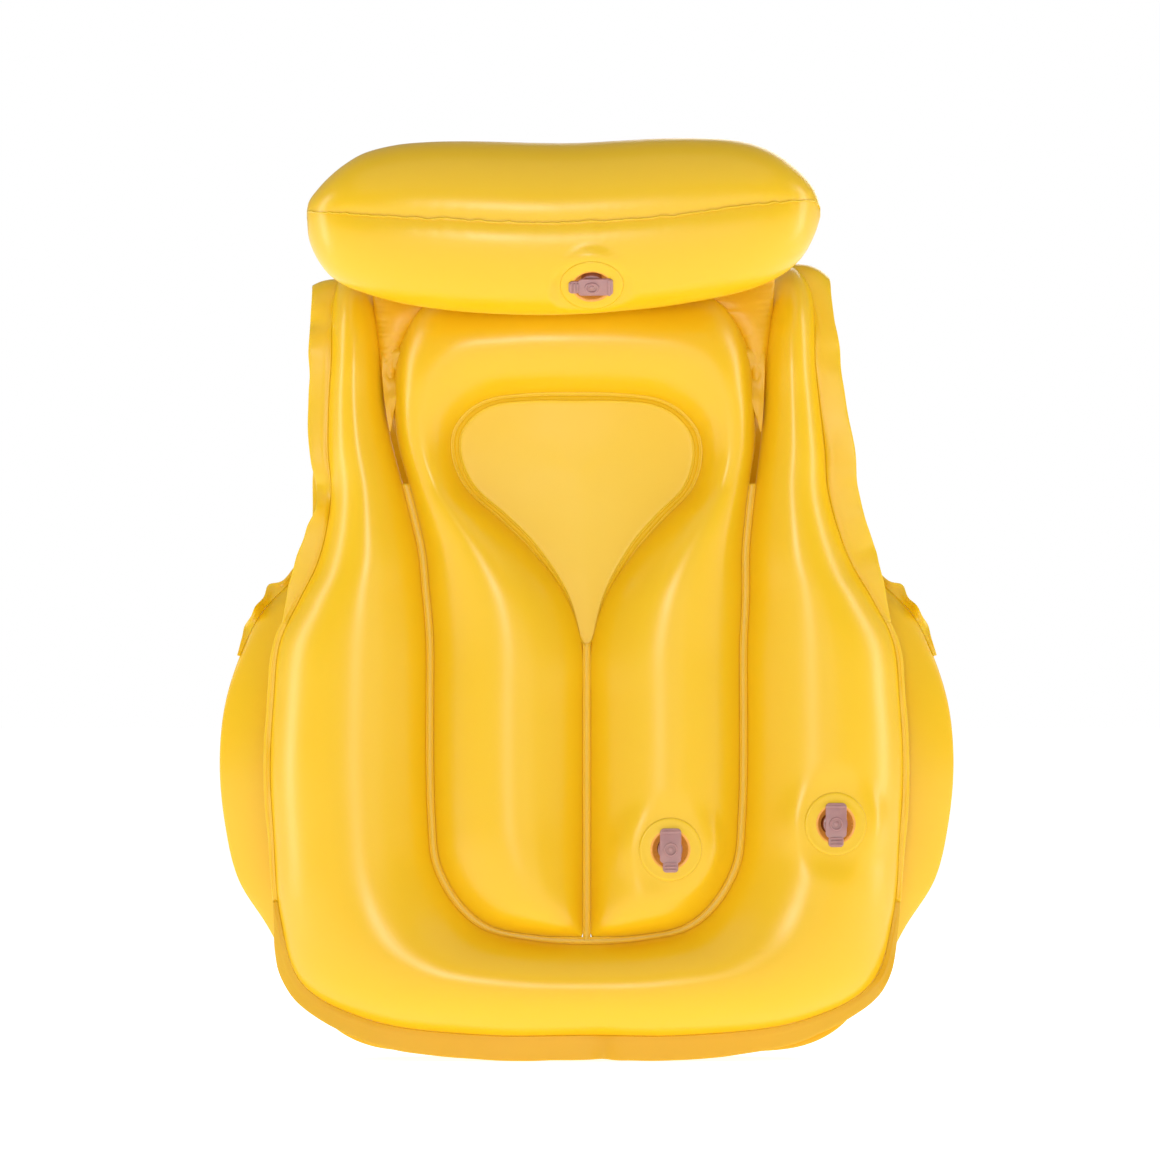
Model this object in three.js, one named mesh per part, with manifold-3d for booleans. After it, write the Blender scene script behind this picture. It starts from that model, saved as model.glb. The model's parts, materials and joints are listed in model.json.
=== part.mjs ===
// A child's inflatable life jacket: a back panel of two air chambers welded round a flat teardrop panel,
// two front panels that open at the middle, a head pillow behind the neck, three push-in valves and two
// webbing buckles. Millimetres, +Z up. The wearer faces +Y, so the back panel and the valves face -Y, and
// +X is the wearer's right.
import * as THREE from "three";
import { mergeVertices } from "three/addons/utils/BufferGeometryUtils.js";
import Module from "manifold-3d";

const wasm = await Module();
wasm.setup();

// ---------------------------------------------------------------- driving dimensions

const HALF_WIDTH = 221; // middle of the jacket to the outside of a side lobe
const PANEL_HEIGHT = 478; // edge of the hem to the top of the shoulders
const BACK_DEPTH = 56; // thickness of the back chambers where they are fullest
const FRONT_DEPTH = 50; // thickness of the front chambers where they are fullest
const BACK_Y = -62; // middle plane of the back panel, on the jacket's centre line
const FRONT_Y = 50; // middle plane of the front panels, on the jacket's centre line
const BACK_WRAP = 30; // how far the back panel has come forward at the jacket's side
const FRONT_WRAP = 67; // how far the front panels have come back at the jacket's side
const FULLNESS = 1.15; // thickness over width of a narrow chamber

const SHOULDER_OUTER = 145; // armhole weld of the shoulder tube, from the middle
const SHOULDER_INNER = 115; // neck weld of the shoulder tube, from the middle
const SHOULDER_RISE = 40; // height over which the shoulder tube turns over to the front
const SHOULDER_LAND = 6; // straight length of the tube beside the shoulder seam

const FILM = 1.2; // a weld or a margin: two films pressed into one
const SEAM_WIDTH = 3.6; // weld between two chambers
const GAP = 0.3; // clearance between neighbouring solids
const CURVED_GAP = 0.65; // clearance between a chamber and what follows its curve
const HEM_WIDTH = 15.4; // margin below the back panel
const ARMHOLE_MARGIN = 14; // margin round the back half of an armhole
const FRONT_ARMHOLE_MARGIN = 11; // margin round the front half of an armhole
const NECK_MARGIN = 9; // margin beside the neck, inside a shoulder tube
const OPENING_MARGIN = 9; // margin down the front opening
const SIDE_MARGIN = 4; // margin in the fold between the back and a front panel
const MARGIN_TIP = 0.35; // width of a margin at its ends, as a share of its full width
const MARGIN_TAPER = 0.1625; // share of a margin's length over which each end narrows

const PILLOW_LENGTH = 306; // tip to tip, across the neck
const PILLOW_HEIGHT = 105;
const PILLOW_DEPTH = 84; // thickness where the pillow is fullest
const PILLOW_FULLNESS = 0.86; // thickness over height near the pillow's tips
const PILLOW_SHIFT = -12; // the pillow sits a little to the wearer's left
const PILLOW_DROP = 17; // how far the pillow hangs below the neck edge
const PILLOW_CLEARANCE = 2; // between the pillow and the back panel's fullest part
const PILLOW_WEB_HALF = 92; // half the width of the web under the pillow
const PILLOW_RIDGE = 2.4; // height of the crimped weld along the pillow
const PILLOW_BARE_STEPS = 3; // steps along the pillow without a ridge, at each tip

const VALVE_PLACES = { inner: [50, 127], outer: [149, 142] }; // x and z on the back panel's pattern
const PILLOW_VALVE_X = 3;
const PILLOW_VALVE_ANGLE = 54; // degrees below the middle of the pillow's back
const VALVE_FLANGE_RADIUS = 19;
const VALVE_FLANGE = 1; // thickness of the welded disc
const CUP_RADIUS = 11;
const CUP_WALL = 1;
const CUP_DEPTH = 12;
const CUP_FLOOR = 1.2;
const STEM_RADIUS = 6.2;
const STEM_LENGTH = 23;
const STEM_LIP = 1.3;
const BORE_RADIUS = 3.9;
const FLAP_SEAT_RADIUS = 5.2;
const FLAP_SEAT_DEPTH = 3.2;
const FLAP_THICKNESS = 0.5;
const FLAP_SWING = 8; // room behind the stem for the check flap
const FLAP_ROOM = 2; // room round the stem for the check flap
const STOPPER_WIDTH = 15;
const STOPPER_UP = 12.6; // stopper plate above the bore
const STOPPER_DOWN = 13.8; // stopper plate below the bore, with its grip
const STOPPER_PLATE = 1.4;
const PLUG_LENGTH = 3;
const PLUG_TAPER = 0.8;
const STOPPER_CORNER = 3.5;
const STOPPER_RING_RADIUS = 4.2;
const STOPPER_RING_WALL = 1.2;
const STOPPER_RING_HEIGHT = 0.9;
const GRIP_RIDGES = 3;
const GRIP_RIDGE = 1; // width of a ridge
const GRIP_PITCH = 2; // ridge to ridge
const GRIP_START = 1.2; // free end of the grip to the first ridge
const GRIP_HEIGHT = 0.7;
const GRIP_INSET = 2.5; // side of the stopper to the end of a ridge
const ROOT = 0.4; // how deep a raised detail is rooted in what carries it

const BUCKLE_HEIGHTS = { lower: 120, upper: 235 }; // on the pattern
const WEBBING_WIDTH = 25;
const WEBBING = 1.5; // thickness
const BUCKLE_WIDTH = 34;
const BUCKLE_THICKNESS = 11;
const SOCKET_LENGTH = 34;
const SOCKET_MOUTH = -6; // the mouth of the socket, from the middle
const CAVITY_LENGTH = 24;
const CAVITY_WIDTH = 27;
const CAVITY_HEIGHT = 5.8;
const BUCKLE_FACE = 1.4; // wall between the cavity and the front of the buckle
const SOCKET_CORNER = 5;
const WINDOW_NEAR = 8; // socket mouth to the near end of its side windows
const WINDOW_FAR = 19; // socket mouth to their far end
const PRONG_LENGTH = 22;
const PRONG_ROOT = 2; // how deep the prongs and the tongue are rooted in the clip's base
const PRONG_CLEARANCE = 0.5;
const PRONG_ARM = 4;
const TONGUE_WIDTH = 5;
const TONGUE_START = 6; // prong tips to the tip of the tongue
const CLIP_LENGTH = 14;
const CLIP_CORNER = 4;
const CLIP_START = 2; // prong tips to socket mouth when the buckle is undone
const STRAP_POCKET = 8; // depth of the pocket that holds a strap's end
const STRAP_END_GAP = 1;
const STRAP_TAIL = 4; // middle of the jacket to the free end of the adjustable strap
const STRAP_STRAIGHT_END = 66; // where a strap leaves the buckle's line for the chamber
const STRAP_OVER = [78, 88, 98, 108, 120]; // where it lies on the chamber
const STRAP_CROSSES = [20, 30, 40, 50, 60, 70]; // where it passes over the chamber without lying on it
const PATCH_START = 84;
const PATCH_END = 130;
const PATCH_STEPS = 6;
const PATCH_HALF_WIDTH = 19;

const FACETS = 12; // round a chamber
const RIM_FACETS = 20; // round a turned piece
const SMALL_FACETS = 16; // round a small turned piece
const CORNER_FACETS = 5;
const OUTLINE_POINTS = 60; // round the teardrop
const STEPS_PER_ROW = 2;
const CUT_ROOM = 1; // how far a cutting tool stands out of what it cuts

// ---------------------------------------------------------------- pattern

// The pattern is drawn for one size and graded: below the armholes to HALF_WIDTH, at the shoulders to
// SHOULDER_OUTER and SHOULDER_INNER, and upwards to PANEL_HEIGHT.
const PATTERN = {
  halfWidth: 221,
  height: 478,
  shoulderOuter: 145,
  shoulderInner: 115,
  armholeFoot: 276,
  shoulderFoot: 396,
};
// Each row runs across the back panel: x and z of its outer weld, of the weld between the chambers, and of
// the inner weld, from the hem upwards.
const BACK_ROWS = [
  [0, 15.4, 0, 72, 0, 76],
  [62, 15.4, 32, 74, 0, 92],
  [130, 24, 60, 80, 0, 112],
  [171, 46, 77, 94, 0, 130],
  [184, 86, 90, 118, 0, 146],
  [188, 134, 93, 145, 0, 162],
  [190, 175, 94, 178, 0, 184],
  [188, 215, 94, 215, 0, 215],
  [184, 251, 94, 250, 0, 244],
  [172, 276, 96, 283, 9, 276],
  [161, 296, 97, 304, 28, 304],
  [154, 316, 100, 324, 48, 325],
  [149, 342, 104, 346, 66, 343],
  [149, 366, 109, 372, 73, 361],
];
// The back shoulder tube above the rows: its armhole weld and its neck weld.
const BACK_SHOULDER_ROW = [147, 396, 114, 398];
// The inner chamber above the rows: its neck weld and the teardrop's weld, to the middle of the neck.
const NECK_ROWS = [
  [108, 402, 72, 376],
  [100, 433, 63, 388],
  [82, 454.5, 50, 395],
  [45, 462, 27, 398],
  [0, 463, 0, 398.5],
];
const TEARDROP_FOOT_ROW = 8; // row of the back panel where the centre weld meets the teardrop
// The foot of one leg of the inner chamber: x and z beside the ring weld, and z beside the centre weld.
const LEG_FOOT = { x: 12, ringZ: 73, centreZ: 84 };
// Rows between which each margin runs, counted from the middle of the hem on the back, and from the
// shoulder on a front panel.
const HEM_ROWS = 4;
const SIDE_ROWS = [4.5, 8.5];
const ARMHOLE_ROWS = [9, 17];
const NECK_FLANGE_ROWS = [15, 17];
const OPENING_ROWS = [5, 10];
const FRONT_ARMHOLE_ROWS = [0, 4];
// A front panel: armhole and side weld, weld along the opening, and how full the chamber is there.
const FRONT_ROWS = [
  [147, 392, 108, 396, 1],
  [150, 352, 88, 374, 1],
  [157, 318, 62, 352, 1],
  [175, 290, 38, 330, 1],
  [196, 268, 22, 304, 1],
  [209, 242, 17, 270, 1],
  [218, 212, 16, 235, 1],
  [221, 178, 16, 180, 1],
  [218, 142, 16, 135, 1],
  [210, 108, 16, 98, 1],
  [193, 80, 16, 66, 0.94],
  [176, 50, 18, 38, 0.72],
  [154, 27, 30, 22, 0.34],
  [144, 17.4, 40, 16.4, 0.05],
];
// x and z of a front panel's hem margin, along its chamber and along its edge.
const FRONT_HEM_TOP = [
  [40, 15.6],
  [92, 15.4],
  [144, 16.5],
  [160, 24],
  [181, 46.5],
];
const FRONT_HEM_EDGE = [
  [34, 0],
  [92, 0],
  [142, 5.5],
  [167, 17.5],
  [190, 41],
];
// Half of the pillow's outline from its middle to its tip: x, top and bottom, as shares of its own size.
const PILLOW_ROWS = [
  [0, 0.98, 0],
  [0.3, 0.99, 0.02],
  [0.57, 0.98, 0.07],
  [0.78, 0.94, 0.14],
  [0.92, 0.8, 0.28],
  [0.98, 0.7, 0.42],
  [1, 0.62, 0.58],
];

const OUTER_SCALE = SHOULDER_OUTER / PATTERN.shoulderOuter;
const INNER_SCALE = SHOULDER_INNER / PATTERN.shoulderInner;
const { lerp, clamp, smoothstep, degToRad } = THREE.MathUtils;
const gradeZ = (z) => (z * PANEL_HEIGHT) / PATTERN.height;
const gradeX = (x, z, shoulderScale) => {
  const shoulder = smoothstep(z, PATTERN.armholeFoot, PATTERN.shoulderFoot);
  return x * lerp(HALF_WIDTH / PATTERN.halfWidth, shoulderScale, shoulder);
};

// A sheet is the curved middle surface of a panel: y on the centre line, and how it curls with x.
const BACK = { y: BACK_Y, curl: BACK_WRAP / HALF_WIDTH ** 2 };
const FRONT = { y: FRONT_Y, curl: -FRONT_WRAP / HALF_WIDTH ** 2 };
const sheetY = (sheet, x) => sheet.y + sheet.curl * x * x;
const onSheet = (sheet, x, z) => new THREE.Vector3(x, sheetY(sheet, x), z);
const fromPattern = (sheet, x, z, scale = INNER_SCALE) => onSheet(sheet, gradeX(x, z, scale), gradeZ(z));
const column = (sheet, rows, i, scale) =>
  rows.map((row) => fromPattern(sheet, row[i], row[i + 1], scale));

const shoulderMiddle = (SHOULDER_OUTER + SHOULDER_INNER) / 2;
const SHOULDER_SEAM_Y = (sheetY(BACK, shoulderMiddle) + sheetY(FRONT, shoulderMiddle)) / 2;
const SHOULDER_DEPTH = FULLNESS * (SHOULDER_OUTER - SHOULDER_INNER);
const SHOULDER_Z = PANEL_HEIGHT - SHOULDER_DEPTH / 2;
const NECK_Z = gradeZ(NECK_ROWS.at(-1)[1]);

// ---------------------------------------------------------------- shaping

const curve = (points) => new THREE.CatmullRomCurve3(points);
const mirrored = (p) => new THREE.Vector3(-p.x, p.y, p.z);

// Points listed from the middle outwards, first on x = 0, become a line from one side to the other.
const bothSides = (points) => [...points.slice(1).reverse().map(mirrored), ...points];

// Each point moved by a distance towards its partner.
const towards = (points, partners, distance) =>
  points.map((p, i) => p.clone().add(partners[i].clone().sub(p).setLength(distance)));

// The turn of a shoulder tube from its panel, at the side x, over to the shoulder seam.
function shoulderTurn(sheet, x) {
  const away = Math.sign(sheet.y - SHOULDER_SEAM_Y);
  const start = sheetY(sheet, x);
  const seamY = SHOULDER_SEAM_Y + away * GAP;
  const end = seamY + away * SHOULDER_LAND;
  const turn = [0, 30, 60, 90].map((degrees) => {
    const angle = degToRad(degrees);
    const y = end + (start - end) * Math.cos(angle);
    return new THREE.Vector3(x, y, SHOULDER_Z - SHOULDER_RISE * (1 - Math.sin(angle)));
  });
  return [...turn, new THREE.Vector3(x, seamY, SHOULDER_Z)];
}

// Turns every face of a closed geometry outwards.
function facingOut(geometry) {
  const p = geometry.getAttribute("position");
  const index = geometry.index.array;
  const [a, b, c] = [new THREE.Vector3(), new THREE.Vector3(), new THREE.Vector3()];
  let volume = 0;
  for (let i = 0; i < index.length; i += 3) {
    [a, b, c].forEach((v, k) => v.fromBufferAttribute(p, index[i + k]));
    volume += a.dot(b.cross(c));
  }
  for (let i = 0; volume < 0 && i < index.length; i += 3) {
    [index[i + 1], index[i + 2]] = [index[i + 2], index[i + 1]];
  }
  return geometry;
}

const welded = (geometry) => {
  const bare = geometry.clone();
  bare.deleteAttribute("normal");
  bare.deleteAttribute("uv");
  return mergeVertices(bare, 1e-3);
};

// A closed tube that lies between two lines. On the unit tube, x runs from one line to the other and z runs
// through the thickness, which depth gives from the width between the lines and the place along them.
function between(unitTube, lineA, lineB, depth, curl) {
  const geometry = welded(unitTube);
  const p = geometry.getAttribute("position");
  for (let i = 0; i < p.count; i++) {
    const [u, t, v] = [p.getX(i), clamp(p.getY(i) + 0.5, 0, 1), p.getZ(i)];
    const [a, b] = [lineA.getPoint(t), lineB.getPoint(t)];
    const centre = a.clone().add(b).multiplyScalar(0.5);
    const half = a.clone().sub(b).multiplyScalar(0.5);
    const along = lineA.getTangent(t).add(lineB.getTangent(t));
    const through = along.cross(half).setLength((depth(half.length() * 2, t) / 2) * v);
    const spot = centre.addScaledVector(half, u).add(through);
    spot.y -= curl * half.x ** 2 * (1 - u * u);
    p.setXYZ(i, spot.x, spot.y, spot.z);
  }
  return facingOut(geometry);
}

const stepsAlong = (line) => STEPS_PER_ROW * (line.points.length - 1);

// An air chamber: a tube with an elliptical section between two welds.
function chamber(lineA, lineB, depth, curl = 0) {
  const tube = new THREE.CylinderGeometry(1, 1, 1, FACETS, stepsAlong(lineA));
  return between(tube, lineA, lineB, depth, curl);
}

// A flat strip between two lines.
function strip(lineA, lineB, thickness = FILM, steps = stepsAlong(lineA)) {
  const square = new THREE.CylinderGeometry(Math.SQRT2, Math.SQRT2, 1, 4, steps, false, Math.PI / 4);
  return between(square, lineA, lineB, () => thickness, 0);
}

function toSolid(geometry) {
  const mesh = welded(geometry);
  const vertProperties = mesh.getAttribute("position").array;
  const triVerts = new Uint32Array(mesh.index.array);
  return new wasm.Manifold(new wasm.Mesh({ numProp: 3, vertProperties, triVerts }));
}

function toGeometry(solid) {
  const mesh = solid.getMesh();
  const geometry = new THREE.BufferGeometry();
  const positions = new Float32Array(mesh.vertProperties);
  geometry.setAttribute("position", new THREE.BufferAttribute(positions, 3));
  geometry.setIndex(new THREE.BufferAttribute(new Uint32Array(mesh.triVerts), 1));
  return geometry;
}

const joined = (...parts) =>
  toGeometry(parts.map(toSolid).reduce((whole, part) => whole.add(part)));
const cut = (body, ...tools) =>
  toGeometry(tools.map(toSolid).reduce((whole, tool) => whole.subtract(tool), toSolid(body)));

const box = (x0, x1, y0, y1, z0, z1) => {
  const block = new THREE.BoxGeometry(x1 - x0, y1 - y0, z1 - z0);
  return block.translate((x0 + x1) / 2, (y0 + y1) / 2, (z0 + z1) / 2);
};

// A shape drawn in x and z, given a thickness from y0 to y1.
const plate = (shape, y0, y1) =>
  new THREE.ExtrudeGeometry(shape, { depth: y1 - y0, bevelEnabled: false, curveSegments: CORNER_FACETS })
    .rotateX(Math.PI / 2)
    .translate(0, y1, 0);

function roundedRectangle(x0, x1, z0, z1, radius) {
  const shape = new THREE.Shape();
  shape.moveTo(x0 + radius, z0);
  shape.lineTo(x1 - radius, z0);
  shape.absarc(x1 - radius, z0 + radius, radius, -Math.PI / 2, 0);
  shape.lineTo(x1, z1 - radius);
  shape.absarc(x1 - radius, z1 - radius, radius, 0, Math.PI / 2);
  shape.lineTo(x0 + radius, z1);
  shape.absarc(x0 + radius, z1 - radius, radius, Math.PI / 2, Math.PI);
  shape.lineTo(x0, z0 + radius);
  shape.absarc(x0 + radius, z0 + radius, radius, Math.PI, Math.PI * 1.5);
  return shape;
}

// A turned piece: pairs of radius and depth, where depth runs inwards along +Y.
const turned = (pairs, facets = RIM_FACETS) =>
  facingOut(
    welded(new THREE.LatheGeometry(pairs.map(([r, d]) => new THREE.Vector2(r, d)), facets)),
  );

// ---------------------------------------------------------------- materials and placing

const FINISHES = {
  film: { color: 0xf3c136, roughness: 0.24, metalness: 0 },
  weld: { color: 0xe9b22d, roughness: 0.4, metalness: 0 },
  valve: { color: 0xb98a86, roughness: 0.35, metalness: 0 },
  webbing: { color: 0x1c1d20, roughness: 0.85, metalness: 0 },
  buckle: { color: 0x17181a, roughness: 0.45, metalness: 0 },
};

const jacket = new THREE.Group();

function piece(name, geometry, finish, parent = jacket) {
  const mesh = new THREE.Mesh(geometry, new THREE.MeshStandardMaterial(FINISHES[finish]));
  mesh.name = name;
  parent.add(mesh);
  return mesh;
}

// ---------------------------------------------------------------- back panel

const chamberDepth = (fullest) => (width) => Math.min(fullest, FULLNESS * width);
const hull = column(BACK, BACK_ROWS, 0, OUTER_SCALE);
const seam = column(BACK, BACK_ROWS, 2);
const core = column(BACK, BACK_ROWS, 4);
const shoulderOuter = [
  ...column(BACK, [BACK_SHOULDER_ROW], 0, OUTER_SCALE),
  ...shoulderTurn(BACK, SHOULDER_OUTER),
];
const shoulderInner = [
  ...column(BACK, [BACK_SHOULDER_ROW], 2),
  ...shoulderTurn(BACK, SHOULDER_INNER),
];
const weldHalf = SEAM_WIDTH / 2;

const hullLine = curve(bothSides([...hull, ...shoulderOuter]));
const innerWeld = towards(seam, hull, weldHalf + CURVED_GAP);
const innerLine = curve(bothSides([...innerWeld, ...shoulderInner]));
const middleRow = hull.length + shoulderOuter.length - 1;
const backOuterChamber = () => chamber(hullLine, innerLine, chamberDepth(BACK_DEPTH));

// The inner chamber starts beside the foot of the centre weld, goes round the teardrop and comes down again.
function backInnerChamber() {
  const clear = weldHalf + CURVED_GAP;
  const besideCore = core.map((p) => onSheet(BACK, Math.max(p.x, 0) + clear, p.z));
  const legOuter = towards(seam, core, clear).slice(1);
  const legInner = besideCore.slice(1);
  const footOuter = fromPattern(BACK, LEG_FOOT.x, LEG_FOOT.ringZ).setZ(gradeZ(LEG_FOOT.ringZ) + clear);
  const footInner = onSheet(BACK, clear, gradeZ(LEG_FOOT.centreZ));
  const neck = column(BACK, NECK_ROWS, 0);
  const top = column(BACK, NECK_ROWS, 2);
  const besideTop = towards(top, neck, clear);
  const outer = [footOuter, ...legOuter, ...neck].reverse();
  const inner = [footInner, ...legInner, ...besideTop].reverse();
  return chamber(curve(bothSides(outer)), curve(bothSides(inner)), chamberDepth(BACK_DEPTH));
}

function teardropPanel() {
  const weld = [...core.slice(TEARDROP_FOOT_ROW + 1), ...column(BACK, NECK_ROWS, 2)];
  const foot = onSheet(BACK, 0, core[TEARDROP_FOOT_ROW].z + CURVED_GAP);
  const left = weld.slice(0, -1).reverse().map(mirrored);
  const outline = new THREE.CatmullRomCurve3([foot, ...weld, ...left], true);
  const points = outline.getPoints(OUTLINE_POINTS).map((p) => new THREE.Vector2(p.x, p.z));
  const shape = new THREE.Shape(points);
  return plate(shape, BACK_Y - FILM / 2, BACK_Y + FILM / 2);
}

// The weld between the two chambers, up to where they part at the neck.
function ringWeld() {
  const edge = (partners) => curve(bothSides(towards(seam, partners, weldHalf).slice(0, -1)));
  return strip(edge(hull), edge(core));
}

function centreWeld() {
  const foot = seam[0].z + weldHalf + CURVED_GAP;
  const head = core[TEARDROP_FOOT_ROW].z;
  return box(-weldHalf, weldHalf, BACK_Y - FILM / 2, BACK_Y + FILM / 2, foot, head);
}

// A margin beside a weld: it follows the path between two of its rows, on one side of it, and narrows at
// its ends.
function margin(path, firstRow, lastRow, side, width, lift = CURVED_GAP) {
  const steps = STEPS_PER_ROW * (lastRow - firstRow);
  const shares = Array.from({ length: steps + 1 }, (_, i) => i / steps);
  const placeOf = (share) => lerp(firstRow, lastRow, share) / (path.points.length - 1);
  const beside = (share, distance) => {
    const along = path.getTangent(placeOf(share));
    const outward = new THREE.Vector3(along.z, 0, -along.x).setLength(side * distance);
    return path.getPoint(placeOf(share)).add(outward);
  };
  const narrowed = (share) => {
    const fromTip = Math.min(share, 1 - share) / MARGIN_TAPER;
    return width * Math.min(1, MARGIN_TIP + (1 - MARGIN_TIP) * fromTip);
  };
  const inner = shares.map((share) => beside(share, lift));
  const outer = shares.map((share) => beside(share, lift + narrowed(share)));
  return strip(curve(inner), curve(outer), FILM, steps);
}

// ---------------------------------------------------------------- front panels

const frontSide = column(FRONT, FRONT_ROWS, 0, OUTER_SCALE);
const frontEdge = column(FRONT, FRONT_ROWS, 2);
const frontOuter = [...shoulderTurn(FRONT, SHOULDER_OUTER).reverse(), ...frontSide];
const frontInner = [...shoulderTurn(FRONT, SHOULDER_INNER).reverse(), ...frontEdge];

function frontFullness(t) {
  const place = t * (frontOuter.length - 1) - (frontOuter.length - FRONT_ROWS.length);
  const row = clamp(Math.floor(place), 0, FRONT_ROWS.length - 2);
  const share = clamp(place - row, 0, 1);
  return lerp(FRONT_ROWS[row][4], FRONT_ROWS[row + 1][4], share);
}

const frontDepth = (width, t) => Math.min(FRONT_DEPTH, FULLNESS * width) * frontFullness(t);

function frontPanel(side, mirror) {
  const map = (points) => points.map((p) => new THREE.Vector3(p.x * mirror, p.y, p.z));
  const name = (part) => `front_${side}_${part}`;
  const body = chamber(curve(map(frontOuter)), curve(map(frontInner)), frontDepth, FRONT.curl);
  const mesh = piece(name("chamber"), body, "film");
  const hemLines = [FRONT_HEM_TOP, FRONT_HEM_EDGE].map((rows) => curve(map(column(FRONT, rows, 0))));
  piece(name("hem_flange"), strip(...hemLines), "weld");
  const turnRows = frontOuter.length - frontSide.length;
  const openingPath = curve(map(frontInner));
  const armholePath = curve(map(frontOuter));
  const [openingTop, openingFoot] = OPENING_ROWS.map((row) => row + turnRows);
  const [armholeTop, armholeFoot] = FRONT_ARMHOLE_ROWS.map((row) => row + turnRows);
  const opening = margin(openingPath, openingTop, openingFoot, mirror, OPENING_MARGIN);
  piece(name("opening_flange"), opening, "weld");
  const armhole = margin(armholePath, armholeTop, armholeFoot, -mirror, FRONT_ARMHOLE_MARGIN);
  piece(name("armhole_flange"), armhole, "weld");
  return mesh;
}

// ---------------------------------------------------------------- assembly of the panels

const outerChamber = piece("back_outer_chamber", backOuterChamber(), "film");
const innerChamber = piece("back_inner_chamber", backInnerChamber(), "film");
piece("back_teardrop_panel", teardropPanel(), "film");
piece("back_ring_weld", ringWeld(), "weld");
piece("back_centre_weld", centreWeld(), "weld");
const hem = margin(hullLine, middleRow - HEM_ROWS, middleRow + HEM_ROWS, 1, HEM_WIDTH - CURVED_GAP);
piece("back_hem_flange", hem, "weld");

for (const [side, mirror] of [["left", -1], ["right", 1]]) {
  const rows = (ends) => ends.map((row) => middleRow + mirror * row).sort((a, b) => a - b);
  const armhole = margin(hullLine, ...rows(ARMHOLE_ROWS), 1, ARMHOLE_MARGIN);
  piece(`armhole_flange_${side}`, armhole, "weld");
  const neck = margin(innerLine, ...rows(NECK_FLANGE_ROWS), -1, NECK_MARGIN);
  piece(`neck_flange_${side}`, neck, "weld");
  piece(`side_weld_${side}`, margin(hullLine, ...rows(SIDE_ROWS), 1, SIDE_MARGIN), "weld");
}
const frontPanels = { left: frontPanel("left", -1), right: frontPanel("right", 1) };

// ---------------------------------------------------------------- head pillow

// The pillow lies behind the neck, its bottom just below the neck edge, clear of the inner chamber where
// that is fullest.
const pillowTop = NECK_Z - PILLOW_DROP + PILLOW_HEIGHT;
const pillowY = BACK_Y - PILLOW_DEPTH / 2 - PILLOW_CLEARANCE;
const pillowLine = (index) => {
  const points = PILLOW_ROWS.map((row) => {
    const z = pillowTop - PILLOW_HEIGHT * (1 - row[index]);
    return new THREE.Vector3((row[0] * PILLOW_LENGTH) / 2, pillowY, z);
  });
  return curve(bothSides(points).map((p) => p.setX(p.x + PILLOW_SHIFT)));
};
const pillowLines = [pillowLine(1), pillowLine(2)];
const pillowDepth = (width) => Math.min(PILLOW_DEPTH, PILLOW_FULLNESS * width);
const pillow = piece("pillow_chamber", chamber(...pillowLines, pillowDepth), "film");

// The crimped weld on the pillow's equator, seen from behind, standing proud of the chamber.
function pillowSeam() {
  const steps = stepsAlong(pillowLines[0]);
  const covered = steps - 2 * PILLOW_BARE_STEPS;
  const edge = (lift) => {
    const points = Array.from({ length: covered + 1 }, (_, i) => {
      const [top, bottom] = pillowLines.map((line) => line.getPoint((i + PILLOW_BARE_STEPS) / steps));
      const back = pillowDepth(top.distanceTo(bottom)) / 2 + lift;
      return new THREE.Vector3(top.x, pillowY - back, (top.z + bottom.z) / 2);
    });
    return curve(points);
  };
  return strip(edge(2 * CURVED_GAP), edge(2 * CURVED_GAP + PILLOW_RIDGE), FILM, covered);
}
piece("pillow_seam_weld", pillowSeam(), "weld");

// The web that hangs the pillow on the neck edge of the back panel.
const webY = pillowY + PILLOW_DEPTH / 2 + GAP;
const webTop = pillowTop - PILLOW_HEIGHT / 2;
const pillowWeb = box(-PILLOW_WEB_HALF, PILLOW_WEB_HALF, webY, webY + FILM, NECK_Z + GAP, webTop);
piece("pillow_web", pillowWeb, "weld");

// ---------------------------------------------------------------- valves

// The place on a chamber where a ray from outside, along inward, meets it.
function surfacePoint(mesh, from, inward) {
  mesh.updateMatrixWorld(true);
  mesh.material.side = THREE.DoubleSide;
  const start = from.clone().addScaledVector(inward, -HALF_WIDTH);
  return new THREE.Raycaster(start, inward).intersectObject(mesh)[0].point;
}

// A group whose +Y runs into the chamber at right angles to its surface, with the flange sunk to its rim.
function valveSeat(mesh, from, inward, turn) {
  const across = new THREE.Vector3(1, 0, 0);
  const up = new THREE.Vector3().crossVectors(across, inward).normalize();
  const rimPoint = (way, distance) => surfacePoint(mesh, from.clone().addScaledVector(way, distance), inward);
  const rim = [across, up].flatMap((way) =>
    [VALVE_FLANGE_RADIUS, -VALVE_FLANGE_RADIUS].map((distance) => rimPoint(way, distance)),
  );
  const slopeX = rim[0].clone().sub(rim[1]).normalize();
  const slopeUp = rim[2].clone().sub(rim[3]).normalize();
  const into = new THREE.Vector3().crossVectors(slopeX, slopeUp).normalize();
  if (into.dot(inward) < 0) into.negate();
  const side = new THREE.Vector3().crossVectors(into, slopeUp).normalize();
  const seat = new THREE.Group();
  seat.quaternion.setFromRotationMatrix(
    new THREE.Matrix4().makeBasis(side, into, new THREE.Vector3().crossVectors(side, into)),
  );
  seat.rotateY(turn);
  const rimMiddle = rim.reduce((sum, p) => sum.add(p), new THREE.Vector3()).divideScalar(4);
  seat.position.copy(rimMiddle);
  seat.updateMatrixWorld(true);
  return seat;
}

const pocketRadius = CUP_RADIUS + CUP_WALL + GAP;
const floorHole = STEM_RADIUS + GAP;

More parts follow.
